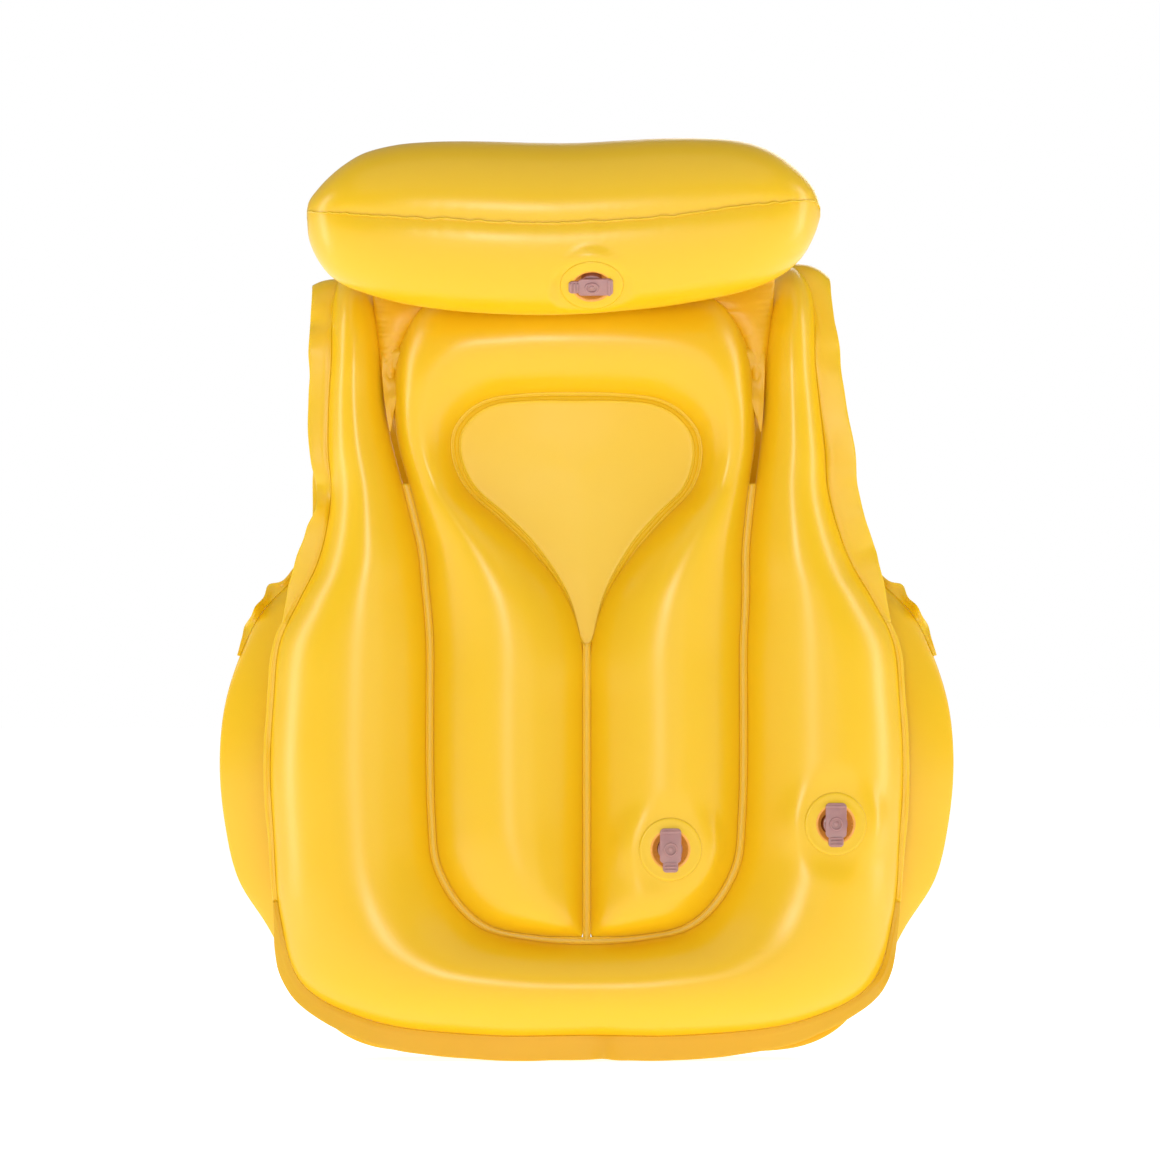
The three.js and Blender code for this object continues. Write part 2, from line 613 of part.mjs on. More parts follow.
// Everything that the valve takes out of its chamber: the seat of the flange, the cup and the room for the
// stem.
const valvePocket = () =>
  turned([
    [0, -BACK_DEPTH],
    [VALVE_FLANGE_RADIUS + GAP, -BACK_DEPTH],
    [VALVE_FLANGE_RADIUS + GAP, VALVE_FLANGE + GAP],
    [pocketRadius, VALVE_FLANGE + GAP],
    [pocketRadius, CUP_DEPTH + CUP_FLOOR + GAP],
    [STEM_RADIUS + FLAP_ROOM, CUP_DEPTH + CUP_FLOOR + GAP],
    [STEM_RADIUS + FLAP_ROOM, STEM_LENGTH + FLAP_SWING],
    [0, STEM_LENGTH + FLAP_SWING],
  ]);

const valveBase = () =>
  turned([
    [CUP_RADIUS, 0],
    [VALVE_FLANGE_RADIUS, 0],
    [VALVE_FLANGE_RADIUS, VALVE_FLANGE],
    [CUP_RADIUS + CUP_WALL, VALVE_FLANGE],
    [CUP_RADIUS + CUP_WALL, CUP_DEPTH + CUP_FLOOR],
    [floorHole, CUP_DEPTH + CUP_FLOOR],
    [floorHole, CUP_DEPTH],
    [CUP_RADIUS, CUP_DEPTH],
    [CUP_RADIUS, 0],
  ]);

const valveStem = () =>
  turned([
    [BORE_RADIUS, GAP],
    [STEM_RADIUS + STEM_LIP, GAP],
    [STEM_RADIUS + STEM_LIP, GAP + STEM_LIP],
    [STEM_RADIUS, GAP + 2 * STEM_LIP],
    [STEM_RADIUS, STEM_LENGTH],
    [FLAP_SEAT_RADIUS, STEM_LENGTH],
    [FLAP_SEAT_RADIUS, STEM_LENGTH - FLAP_SEAT_DEPTH],
    [BORE_RADIUS, STEM_LENGTH - FLAP_SEAT_DEPTH],
    [BORE_RADIUS, GAP],
  ]);

function valveFlap() {
  const top = STEM_LENGTH - FLAP_SEAT_DEPTH + GAP;
  const radius = FLAP_SEAT_RADIUS - 2 * GAP;
  const bottom = top + FLAP_THICKNESS;
  return turned([[0, top], [radius, top], [radius, bottom], [0, bottom]], SMALL_FACETS);
}

// The stopper: a plate with a plug for the bore, a raised ring, and a ridged grip at its free end.
function valveStopper() {
  const half = STOPPER_WIDTH / 2;
  const outline = roundedRectangle(-half, half, -STOPPER_DOWN, STOPPER_UP, STOPPER_CORNER);
  const face = -GAP - STOPPER_PLATE;
  const plugRadius = BORE_RADIUS - 2 * GAP;
  const plug = turned([
    [0, -GAP - STOPPER_PLATE / 2],
    [plugRadius, -GAP - STOPPER_PLATE / 2],
    [plugRadius - PLUG_TAPER, PLUG_LENGTH],
    [0, PLUG_LENGTH],
  ], SMALL_FACETS);
  const ringBore = STOPPER_RING_RADIUS - STOPPER_RING_WALL;
  const ring = turned([
    [ringBore, face - STOPPER_RING_HEIGHT],
    [STOPPER_RING_RADIUS, face - STOPPER_RING_HEIGHT],
    [STOPPER_RING_RADIUS, face + ROOT],
    [ringBore, face + ROOT],
    [ringBore, face - STOPPER_RING_HEIGHT],
  ]);
  const reach = half - GRIP_INSET;
  const ridges = Array.from({ length: GRIP_RIDGES }, (_, i) => {
    const z = -STOPPER_DOWN + GRIP_START + GRIP_PITCH * i;
    return box(-reach, reach, face - GRIP_HEIGHT, face + ROOT, z, z + GRIP_RIDGE);
  });
  return joined(plate(outline, face, -GAP), plug, ring, ...ridges);
}

function fitValve(name, chamberMesh, from, inward, turn) {
  const seat = valveSeat(chamberMesh, from, inward, turn);
  jacket.add(seat);
  const tool = valvePocket().applyMatrix4(seat.matrixWorld);
  chamberMesh.geometry = cut(chamberMesh.geometry, tool);
  piece(`valve_${name}_base`, valveBase(), "valve", seat);
  piece(`valve_${name}_stem`, valveStem(), "valve", seat);
  piece(`valve_${name}_flap`, valveFlap(), "valve", seat);
  piece(`valve_${name}_stopper`, valveStopper(), "valve", seat);
}

const straightIn = new THREE.Vector3(0, 1, 0);
const placeOnBack = ([x, z]) => fromPattern(BACK, x, z);
fitValve("inner", innerChamber, placeOnBack(VALVE_PLACES.inner), straightIn, 0);
fitValve("outer", outerChamber, placeOnBack(VALVE_PLACES.outer), straightIn, 0);

// The pillow's valve is on the underside of its back.
const below = degToRad(PILLOW_VALVE_ANGLE);
const pillowInward = new THREE.Vector3(0, Math.cos(below), Math.sin(below));
const pillowMiddle = new THREE.Vector3(PILLOW_VALVE_X, pillowY, pillowTop - PILLOW_HEIGHT / 2);
fitValve("pillow", pillow, pillowMiddle, pillowInward, Math.PI / 2);

// ---------------------------------------------------------------- straps and buckles

const towardsBack = new THREE.Vector3(0, -1, 0);
const frontFace = (mesh, x, z) => surfacePoint(mesh, new THREE.Vector3(x, 0, z), towardsBack).y;

const fullestFront = Math.max(
  ...Object.values(BUCKLE_HEIGHTS).flatMap((z) =>
    STRAP_CROSSES.map((x) => frontFace(frontPanels.right, x, gradeZ(z))),
  ),
);
const strapY = fullestFront + 2 * GAP; // the webbing's inner face
const pocketY0 = strapY - GAP;
const pocketY1 = strapY + WEBBING + GAP;
const buckleY0 = pocketY0 - BUCKLE_FACE;
const buckleY1 = buckleY0 + BUCKLE_THICKNESS;
const cavityY1 = buckleY1 - BUCKLE_FACE;
const cavityY0 = cavityY1 - CAVITY_HEIGHT;
const halfPocket = WEBBING_WIDTH / 2 + 2 * GAP;

// A strap from its patch on the front panel, straight along the buckle's line and then over the chamber.
function strap(mesh, mirror, z, end) {
  const lift = 2 * CURVED_GAP + FILM;
  const over = STRAP_OVER.map((x) => [x, frontFace(mesh, mirror * x, z) + lift]);
  const straight = [end, (end + STRAP_STRAIGHT_END) / 2, STRAP_STRAIGHT_END].map((x) => [x, strapY]);
  const points = [...straight, ...over];
  const line = (dz) =>
    curve(points.map(([x, y]) => new THREE.Vector3(mirror * x, y + WEBBING / 2, z + dz)));
  return strip(line(WEBBING_WIDTH / 2), line(-WEBBING_WIDTH / 2), WEBBING);
}

function strapPatch(mesh, mirror, z) {
  const lift = CURVED_GAP + FILM / 2;
  const line = (dz) => {
    const points = Array.from({ length: PATCH_STEPS + 1 }, (_, i) => {
      const x = mirror * lerp(PATCH_START, PATCH_END, i / PATCH_STEPS);
      return new THREE.Vector3(x, frontFace(mesh, x, z) + lift, z + dz);
    });
    return curve(points);
  };
  return strip(line(PATCH_HALF_WIDTH), line(-PATCH_HALF_WIDTH));
}

const socketBack = SOCKET_MOUTH - SOCKET_LENGTH;
const halfBuckle = BUCKLE_WIDTH / 2;
const halfCavity = CAVITY_WIDTH / 2;

function buckleSocket(z) {
  const outline = roundedRectangle(socketBack, SOCKET_MOUTH, -halfBuckle, halfBuckle, SOCKET_CORNER);
  const shell = plate(outline, buckleY0, buckleY1);
  const through = (x0, x1, half) => box(x0, x1, cavityY0, cavityY1, -half, half);
  const cavity = through(SOCKET_MOUTH - CAVITY_LENGTH, SOCKET_MOUTH + CUT_ROOM, halfCavity);
  const windows = through(SOCKET_MOUTH - WINDOW_FAR, SOCKET_MOUTH - WINDOW_NEAR, halfBuckle + CUT_ROOM);
  const pocketEnd = socketBack + STRAP_POCKET;
  const pocket = box(socketBack - CUT_ROOM, pocketEnd, pocketY0, pocketY1, -halfPocket, halfPocket);
  return cut(shell, cavity, windows, pocket).translate(0, 0, z);
}

const clipTips = SOCKET_MOUTH + CLIP_START;
const clipBase = clipTips + PRONG_LENGTH;

// One prong, from its root round its barb: along from the tips, and in from the cavity's wall.
const PRONG_ROWS = [
  [PRONG_LENGTH + PRONG_ROOT, 3 + PRONG_ARM],
  [7, 1 + PRONG_ARM],
  [1, 5],
  [0, 3],
  [6, 0],
  [10, 0],
  [10, 2],
  [PRONG_LENGTH + PRONG_ROOT, 2.6],
];

function prong(y0, y1) {
  const wall = halfCavity - PRONG_CLEARANCE;
  const points = PRONG_ROWS.map(([along, inset]) => new THREE.Vector2(clipTips + along, wall - inset));
  return plate(new THREE.Shape(points), y0, y1);
}

function buckleClip(z) {
  const clipEnd = clipBase + CLIP_LENGTH;
  const outline = roundedRectangle(clipBase, clipEnd, -halfBuckle, halfBuckle, CLIP_CORNER);
  const base = plate(outline, buckleY0, buckleY1);
  const [y0, y1] = [cavityY0 + PRONG_CLEARANCE, cavityY1 - PRONG_CLEARANCE];
  const otherProng = facingOut(welded(prong(y0, y1)).scale(1, 1, -1));
  const tongueEnd = clipBase + PRONG_ROOT;
  const tongue = box(clipTips + TONGUE_START, tongueEnd, y0, y1, -TONGUE_WIDTH / 2, TONGUE_WIDTH / 2);
  const body = joined(base, prong(y0, y1), otherProng, tongue);
  const passageEnds = [clipBase - CUT_ROOM, clipEnd + CUT_ROOM];
  const passage = box(...passageEnds, pocketY0, pocketY1, -halfPocket, halfPocket);
  return cut(body, passage).translate(0, 0, z);
}

for (const [level, height] of Object.entries(BUCKLE_HEIGHTS)) {
  const z = gradeZ(height);
  const { left, right } = frontPanels;
  piece(`strap_patch_${level}_left`, strapPatch(left, -1, z), "film");
  piece(`strap_patch_${level}_right`, strapPatch(right, 1, z), "film");
  piece(`strap_${level}_left`, strap(left, -1, z, STRAP_END_GAP - socketBack - STRAP_POCKET), "webbing");
  piece(`strap_${level}_right`, strap(right, 1, z, STRAP_TAIL), "webbing");
  piece(`buckle_socket_${level}`, buckleSocket(z), "buckle");
  piece(`buckle_clip_${level}`, buckleClip(z), "buckle");
}

// ---------------------------------------------------------------- standing place

// The jacket stands with the middle of its outline on the origin.
jacket.updateMatrixWorld(true);
const extent = new THREE.Box3().setFromObject(jacket);
const middle = extent.getCenter(new THREE.Vector3());
const placed = new THREE.Group().add(jacket);
jacket.position.set(-middle.x, -middle.y, -extent.min.z);

export default placed;
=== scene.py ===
import json
import math

import bmesh
import bpy
from mathutils import Matrix, Vector, noise
from mathutils.kdtree import KDTree


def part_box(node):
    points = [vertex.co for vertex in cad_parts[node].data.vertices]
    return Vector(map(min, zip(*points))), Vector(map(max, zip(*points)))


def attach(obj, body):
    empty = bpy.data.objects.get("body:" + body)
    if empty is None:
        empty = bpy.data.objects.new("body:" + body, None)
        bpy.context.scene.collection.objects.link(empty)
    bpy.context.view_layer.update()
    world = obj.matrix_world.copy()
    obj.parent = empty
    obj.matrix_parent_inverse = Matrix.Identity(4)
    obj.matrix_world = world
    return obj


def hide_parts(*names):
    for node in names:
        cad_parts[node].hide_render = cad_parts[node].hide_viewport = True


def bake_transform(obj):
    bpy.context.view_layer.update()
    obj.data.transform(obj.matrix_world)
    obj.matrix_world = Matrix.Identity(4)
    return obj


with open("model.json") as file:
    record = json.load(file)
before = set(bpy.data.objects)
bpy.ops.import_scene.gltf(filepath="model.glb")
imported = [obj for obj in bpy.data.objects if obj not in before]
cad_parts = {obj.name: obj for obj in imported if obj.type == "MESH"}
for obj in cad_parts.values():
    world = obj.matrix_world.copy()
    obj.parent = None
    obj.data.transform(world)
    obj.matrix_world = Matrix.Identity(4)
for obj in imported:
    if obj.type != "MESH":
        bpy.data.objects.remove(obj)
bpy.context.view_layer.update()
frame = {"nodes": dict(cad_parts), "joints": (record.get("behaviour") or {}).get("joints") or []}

# Sizes here are millimetres until a piece is finished; MM brings it to metres.
MM = 0.001
MERGE = 1e-6  # points closer than this many metres are one
OFFSET = Vector((0, 38.6631, 0.4945))  # from the pattern's own place to the middle of the jacket's outline
SIDES = {"left": -1, "right": 1}
LEVELS = ("lower", "upper")
VALVES = ("inner", "outer", "pillow")

# ---------------------------------------------------------------- pattern

HALF_WIDTH = 221
PANEL_HEIGHT = 478
BACK_Y, BACK_WRAP = -62, 30  # where each sheet stands in its middle, and how far it wraps forward at its side
FRONT_Y, FRONT_WRAP = 50, -67
BACK_DEPTH, FRONT_DEPTH = 62, 50
BACK_ROUNDNESS = 38  # the width that fills a back chamber to two thirds of its depth
FULLNESS = 1.15  # the depth of a narrow front chamber as a share of its width
SHOULDER_OUTER, SHOULDER_INNER = 145, 115
SHOULDER_RISE, SHOULDER_LAND = 40, 6  # how far a tube climbs on its turn, and how far short of the seam it ends
WELD_HALF = 1.8
CLEAR = 0.35  # the gap on each side of the shoulder seam

# x and z of the outer weld, the weld between the chambers and the inner weld, from the hem upwards.
BACK_ROWS = (
    (0, 15.4, 0, 72, 0, 76),
    (62, 15.4, 32, 74, 0, 92),
    (130, 24, 60, 80, 0, 112),
    (171, 46, 77, 94, 0, 130),
    (184, 86, 90, 118, 0, 146),
    (188, 134, 93, 145, 0, 162),
    (190, 175, 94, 178, 0, 184),
    (188, 215, 94, 215, 0, 215),
    (184, 251, 94, 250, 0, 244),
    (172, 276, 96, 283, 9, 276),
    (161, 296, 97, 304, 28, 304),
    (154, 316, 100, 324, 48, 325),
    (149, 342, 104, 346, 66, 343),
    (149, 366, 109, 372, 73, 361),
)
BACK_SHOULDER_ROW = (147, 396, 114, 398)
# x and z of the inner chamber's top edge and of the teardrop's, from the shoulder to the middle of the neck.
NECK_ROWS = (
    (108, 402, 72, 376),
    (103, 434, 63, 388),
    (87, 456, 50, 395),
    (46, 462, 27, 398),
    (0, 463, 0, 398.5),
)
# x and z of a front panel's side and of its opening, and how full the chamber is there, from the shoulder down.
FRONT_ROWS = (
    (147, 392, 108, 396, 1),
    (150, 352, 88, 374, 1),
    (157, 318, 62, 352, 1),
    (175, 290, 38, 330, 1),
    (196, 268, 22, 304, 1),
    (209, 242, 17, 270, 1),
    (218, 212, 16, 235, 1),
    (221, 178, 16, 180, 1),
    (218, 142, 16, 135, 1),
    (210, 108, 16, 98, 1),
    (193, 80, 16, 66, 0.94),
    (176, 50, 18, 38, 0.72),
    (154, 27, 30, 22, 0.34),
    (144, 17.4, 40, 16.4, 0.05),
)
# x, top and bottom of the head pillow, from its left end to its right.
PILLOW_ROWS = (
    (-167, 508.5, 504),
    (-165.6, 514, 491),
    (-161, 520.5, 480),
    (-154, 528, 470.5),
    (-145, 535.5, 464),
    (-133, 542.5, 459.3),
    (-114, 547.4, 453.8),
    (-94, 549.2, 450.2),
    (-73, 549.6, 447.8),
    (-50, 549.2, 446.4),
    (-28, 548.6, 445.9),
    (-5, 548.6, 446.4),
    (20, 550, 448.2),
    (46, 551.4, 451),
    (68, 551.6, 454.6),
    (86, 550.6, 458.2),
    (100, 547.8, 462.2),
    (112, 543, 467.4),
    (122, 536.4, 474),
    (130, 529, 482.6),
    (136, 520.6, 494),
    (139.4, 511, 504.5),
)
# The crimped weld of the pillow, seen from behind.
PILLOW_SEAM = (
    (-167, 507.6), (-121, 504), (-84, 502.2), (-46, 500.4), (-19, 499.8),
    (11, 501.2), (38, 503), (71, 507), (105, 511.6), (139, 514.6),
)
PILLOW_Y, PILLOW_DEPTH = -106, 84

LEAN = 8  # the shoulders hang this far over to the wearer's left
LEAN_FROM, LEAN_TO = 255, 420


def eased(x, low, high):
    """From 0 at low to 1 at high, smoothly."""
    share = min(max((x - low) / (high - low), 0), 1)
    return share * share * (3 - 2 * share)


def rough(x, seed, scale):
    """Smooth noise along a line, from -1 to 1."""
    return noise.noise(Vector((x / scale, seed * 7.31, 0.5)))


class Line:
    """A smooth line through points, taken by its share from the first point to the last."""

    def __init__(self, points):
        self.points = [Vector(p) for p in points]
        self.last = len(self.points) - 1

    def at(self, share):
        place = min(max(share, 0), 1) * self.last
        i = min(int(place), self.last - 1)
        p1, p2 = self.points[i], self.points[i + 1]
        p0 = self.points[i - 1] if i else p1 * 2 - p2
        p3 = self.points[i + 2] if i + 2 <= self.last else p2 * 2 - p1
        d0, d1, d2 = (max((b - a).length ** 0.5, 1e-4) for a, b in ((p0, p1), (p1, p2), (p2, p3)))
        m1 = ((p1 - p0) / d0 - (p2 - p0) / (d0 + d1) + (p2 - p1) / d1) * d1
        m2 = ((p2 - p1) / d1 - (p3 - p1) / (d1 + d2) + (p3 - p2) / d2) * d1
        t = place - i
        return (
            p1 * (2 * t**3 - 3 * t**2 + 1) + m1 * (t**3 - 2 * t**2 + t)
            + p2 * (3 * t**2 - 2 * t**3) + m2 * (t**3 - t**2)
        )

    def along(self, share):
        step = 0.02 / self.last
        return (self.at(share + step) - self.at(share - step)).normalized()


def sheet_y(x, front=False):
    y, wrap = (FRONT_Y, FRONT_WRAP) if front else (BACK_Y, BACK_WRAP)
    return y + wrap * (x / HALF_WIDTH) ** 2


def on_sheet(x, z, front=False):
    return Vector((x, sheet_y(x, front), z))


def column(rows, i, front=False):
    return [on_sheet(row[i], row[i + 1], front) for row in rows]


def mirrored(p):
    return Vector((-p.x, p.y, p.z))


def both_sides(points):
    return [mirrored(p) for p in reversed(points[1:])] + list(points)


def towards(points, partners, distance):
    return [p + (q - p).normalized() * distance for p, q in zip(points, partners)]


def shoulder_turn(x, front=False):
    """The turn of a shoulder tube over to the shoulder seam."""
    middle = (SHOULDER_OUTER + SHOULDER_INNER) / 2
    seam_y = (sheet_y(middle) + sheet_y(middle, True)) / 2
    away = 1 if front else -1
    depth = FULLNESS * (SHOULDER_OUTER - SHOULDER_INNER)
    top = PANEL_HEIGHT - depth / 2
    end = seam_y + away * (CLEAR + SHOULDER_LAND)
    turn = []
    for degrees in (0, 30, 60, 90):
        angle = math.radians(degrees)
        y = end + (sheet_y(x, front) - end) * math.cos(angle)
        turn.append(Vector((x, y, top - SHOULDER_RISE * (1 - math.sin(angle)))))
    return turn + [Vector((x, seam_y + away * CLEAR, top))]


hull = column(BACK_ROWS, 0)
seam = column(BACK_ROWS, 2)
core = column(BACK_ROWS, 4)
shoulder_outer = [on_sheet(*BACK_SHOULDER_ROW[:2])] + shoulder_turn(SHOULDER_OUTER)
shoulder_inner = [on_sheet(*BACK_SHOULDER_ROW[2:])] + shoulder_turn(SHOULDER_INNER)
hull_line = Line(both_sides(hull + shoulder_outer))
inner_line = Line(both_sides(towards(seam, hull, WELD_HALF) + shoulder_inner))
MIDDLE_ROW = len(hull) + len(shoulder_outer) - 1


def worn(p):
    """A pattern point as the jacket hangs, in metres in the frame."""
    lean = LEAN * eased(p.z, LEAN_FROM, LEAN_TO)
    return (Vector((p.x - lean, p.y, p.z)) + OFFSET) * MM


# ---------------------------------------------------------------- making pieces


def finished(bm, name, material, body, slot, *nodes):
    """A piece from its mesh, which rides on its body and stands for its nodes; slot is not used."""
    bmesh.ops.recalc_face_normals(bm, faces=bm.faces)
    mesh = bpy.data.meshes.new(name)
    bm.to_mesh(mesh)
    bm.free()
    mesh.shade_smooth()
    mesh.materials.append(material)
    obj = bpy.data.objects.new(name, mesh)
    bpy.context.scene.collection.objects.link(obj)
    if body:
        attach(obj, body)
    if nodes:
        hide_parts(*nodes)
    return obj


def closed(bm):
    """A tube rolled up from a grid, merged along its length and shut at its ends."""
    bmesh.ops.remove_doubles(bm, verts=bm.verts, dist=MERGE)
    ends = [e for e in bm.edges if e.is_boundary]
    if ends:
        bmesh.ops.holes_fill(bm, edges=ends, sides=0)
    return bm


def bell(x):
    """From 1 at nought to 0 far away."""
    return math.exp(-(x**2))


STATION = 5  # millimetres that a step along a chamber counts for in its puckers
PUCKER_REACH, PUCKER_START, PUCKER_LENGTH = 16, 2, 14  # inwards from the weld, and along it


def between(line_a, line_b, steps, around, depth, place, curl=0.0, bow=1.6, pucker=0.0, seed=1):
    """A closed chamber between two welds.

    depth(width, share) is its thickness, place brings a point home, curl bends it round the body, bow is how sharp
    its edges are and pucker is how far its film wrinkles beside the welds.
    """
    bm = bmesh.new()
    bmesh.ops.create_grid(bm, x_segments=around, y_segments=steps, size=0.5)
    stations = {}
    for v in bm.verts:
        turn, share = (v.co.x + 0.5) * math.tau, v.co.y + 0.5
        key = round(share * steps)
        if key not in stations:
            a, b = line_a.at(share), line_b.at(share)
            stations[key] = a, b, line_a.along(share) + line_b.along(share)
        a, b, along = stations[key]
        across, rise = math.cos(turn), math.sin(turn)
        rise = math.copysign(abs(rise) ** bow, rise)
        half = (a - b) / 2
        width = half.length * 2
        inside = (1 - abs(across)) * width
        fold = bell(inside / PUCKER_REACH) * (1 - bell(inside / PUCKER_START))
        crimp = pucker * fold * rough(share * steps * STATION, seed + (across > 0), PUCKER_LENGTH)
        thick = depth(width, share) / 2 * rise
        if thick:
            thick += math.copysign(crimp, thick)
        spot = (a + b) / 2 + half * across + along.cross(half).normalized() * thick
        spot.y -= curl * half.x**2 * (1 - across * across)
        v.co = place(spot)
    return closed(bm)


HELD_MARKS, HELD_REACH = 1500, 0.0012
BLOW_STEPS, PRESSURE, MOST_SWELL = 20, 4.0, 0.002


def held_verts(obj, lines):
    """The vertices that lie on the welds."""
    marks = [worn(line.at(i / HELD_MARKS)) for line in lines for i in range(HELD_MARKS + 1)]
    tree = KDTree(len(marks))
    for i, p in enumerate(marks):
        tree.insert(p, i)
    tree.balance()
    return [v.index for v in obj.data.vertices if tree.find(v.co)[2] < HELD_REACH]


def inflate(obj, lines):
    """Air in a chamber: cloth under pressure, held at its welds, no point moving further than MOST_SWELL."""
    scene = bpy.context.scene
    group = obj.vertex_groups.new(name="held")
    group.add(held_verts(obj, lines), 1.0, "REPLACE")
    start = [v.co.copy() for v in obj.data.vertices]
    air = obj.modifiers.new("air", "CLOTH")
    film = air.settings
    film.quality = 4
    film.mass = 0.25
    film.tension_stiffness = film.compression_stiffness = 60
    film.shear_stiffness = 25
    film.bending_stiffness = 2
    film.use_pressure = True
    film.uniform_pressure_force = PRESSURE
    film.vertex_group_mass = "held"
    film.effector_weights.gravity = 0
    air.collision_settings.use_collision = False
    air.point_cache.frame_start, air.point_cache.frame_end = 1, BLOW_STEPS
    for step in range(1, BLOW_STEPS + 1):
        scene.frame_set(step)
    blown = obj.evaluated_get(bpy.context.evaluated_depsgraph_get()).data
    for v, swollen, first in zip(obj.data.vertices, blown.vertices, start):
        move = swollen.co - first
        v.co = first + move * min(1, MOST_SWELL / max(move.length, 1e-9))
    obj.modifiers.remove(air)
    obj.vertex_groups.clear()
    scene.frame_set(1)
    obj.data.update()


MARGIN_ACROSS = 26  # cells round a margin's section
MARGIN_THICK, MARGIN_CORNER = 0.9, 0.35  # the lower the corner, the squarer the edge
RIDGE, RIDGE_AT, RIDGE_SPREAD = 0.35, 2.6, 0.55  # the raised weld line beside the chamber
MARGIN_STATION = 2  # millimetres that a step along a margin counts for in its waviness
TIP_FALL, TIP_TUCK = 0.45, 0.8  # a shoulder tip is lower at its outer edge and starts inside the tube's edge
TIP_END, TIP_START = 0.02, 0.2  # shares of the margin's length where its tip is full and where it begins


def margin(path, first, last, side, widths, steps, place, waves=(), seed=1, tip=(0, 0)):
    """A welded margin beside a chamber's edge, from row first to row last of its path.

    waves are (share, spread, push in y, push outward). tip is how far the first and the last end climb, and only one
    of them does.
    """
    bm = bmesh.new()
    bmesh.ops.create_grid(bm, x_segments=MARGIN_ACROSS, y_segments=steps, size=0.5)
    width_line = Line([(w, 0, 0) for w in widths])
    stations = {}
    before = Vector((side, 0, 0))
    for v in bm.verts:
        turn, share = (v.co.x + 0.5) * math.tau, v.co.y + 0.5
        key = round(share * steps)
        if key not in stations:
            where = (first + (last - first) * share) / path.last
            along = path.along(where)
            outward = Vector((along.z, 0, -along.x))
            outward = outward.normalized() * side if outward.length > 0.05 else None
            stations[key] = path.at(where), outward, width_line.at(share).x
        base, outward, width = stations[key]
        outward = outward or before
        before = outward
        out, face = (1 - math.cos(turn)) / 2, math.sin(turn)
        length = share * steps * MARGIN_STATION
        y = 1.1 * rough(length, seed, 34) * out + 0.5 * rough(length, seed + 3, 13) * out * out
        push = 0.5 * rough(length, seed + 9, 22) * out
        for at, spread, bend, shift in waves:
            bump = bell((share - at) / spread)
            y += bend * bump * out
            push += shift * bump * out
        body = math.copysign(abs(face) ** MARGIN_CORNER, face) if abs(face) > 1e-6 else 0.0
        y += body * (MARGIN_THICK / 2 + RIDGE * bell((out * width - RIDGE_AT) / RIDGE_SPREAD))
        near = 1 - eased(share, TIP_END, TIP_START) if tip[0] else eased(share, 1 - TIP_START, 1 - TIP_END)
        climb = max(tip) * near
        outside = out * width + push - TIP_TUCK * climb * (1 - out)
        v.co = place(base + outward * outside + Vector((0, y, climb * (1 - TIP_FALL * out**3))))
    return closed(bm)


# ---------------------------------------------------------------- materials


def nodes_of(name):
    material = bpy.data.materials.new(name)
    material.use_nodes = True
    tree = material.node_tree
    shader = tree.nodes["Principled BSDF"]
    return material, tree, shader


def add(tree, kind, **values):
    node = tree.nodes.new(kind)
    for key, value in values.items():
        if key in node.inputs:
            node.inputs[key].default_value = value
        else:
            setattr(node, key, value)
    return node


def noise_at(tree, scale, detail):
    where = add(tree, "ShaderNodeTexCoord")
    made = add(tree, "ShaderNodeTexNoise", Scale=scale, Detail=detail)
    tree.links.new(where.outputs["Object"], made.inputs["Vector"])
    return made.outputs["Fac"]


def roughened(tree, shader, scale, detail, low, high):
    tree.links.new(ramp(tree, noise_at(tree, scale, detail), low, high), shader.inputs["Roughness"])


def ramp(tree, source, low, high, from_low=0.35, from_high=0.65):
    spread = add(tree, "ShaderNodeMapRange")
    for name, value in (("From Min", from_low), ("From Max", from_high), ("To Min", low), ("To Max", high)):
        spread.inputs[name].default_value = value
    tree.links.new(source, spread.inputs["Value"])
    return spread.outputs["Result"]


def blended(tree, factor, first, second):
    mix = add(tree, "ShaderNodeMix", data_type="RGBA")
    mix.inputs["A"].default_value = (*first, 1)
    mix.inputs["B"].default_value = (*second, 1)
    tree.links.new(factor, mix.inputs["Factor"])
    return mix.outputs["Result"]


def bumped(tree, shader, source, height):
    bump = add(tree, "ShaderNodeBump", Strength=1.0, Distance=height)
    tree.links.new(source, bump.inputs["Height"])
    tree.links.new(bump.outputs["Normal"], shader.inputs["Normal"])


def vinyl(name, light, deep, roughness, grain=0.00002, see_through=0.12):
    """Calendered PVC film: nearly even in colour, with a fine orange-peel surface."""
    material, tree, shader = nodes_of(name)
    patches = ramp(tree, noise_at(tree, 5, 2), 0, 1, 0.25, 0.75)
    tree.links.new(blended(tree, patches, deep, light), shader.inputs["Base Color"])
    roughened(tree, shader, 30, 2, roughness - 0.01, roughness + 0.02)
    shader.inputs["IOR"].default_value = 1.53
    shader.inputs["Specular IOR Level"].default_value = 0.5
    shader.inputs["Subsurface Weight"].default_value = see_through
    shader.inputs["Subsurface Radius"].default_value = (1.0, 0.55, 0.08)
    shader.inputs["Subsurface Scale"].default_value = 0.006
    bumped(tree, shader, noise_at(tree, 420, 2), grain)
    return material


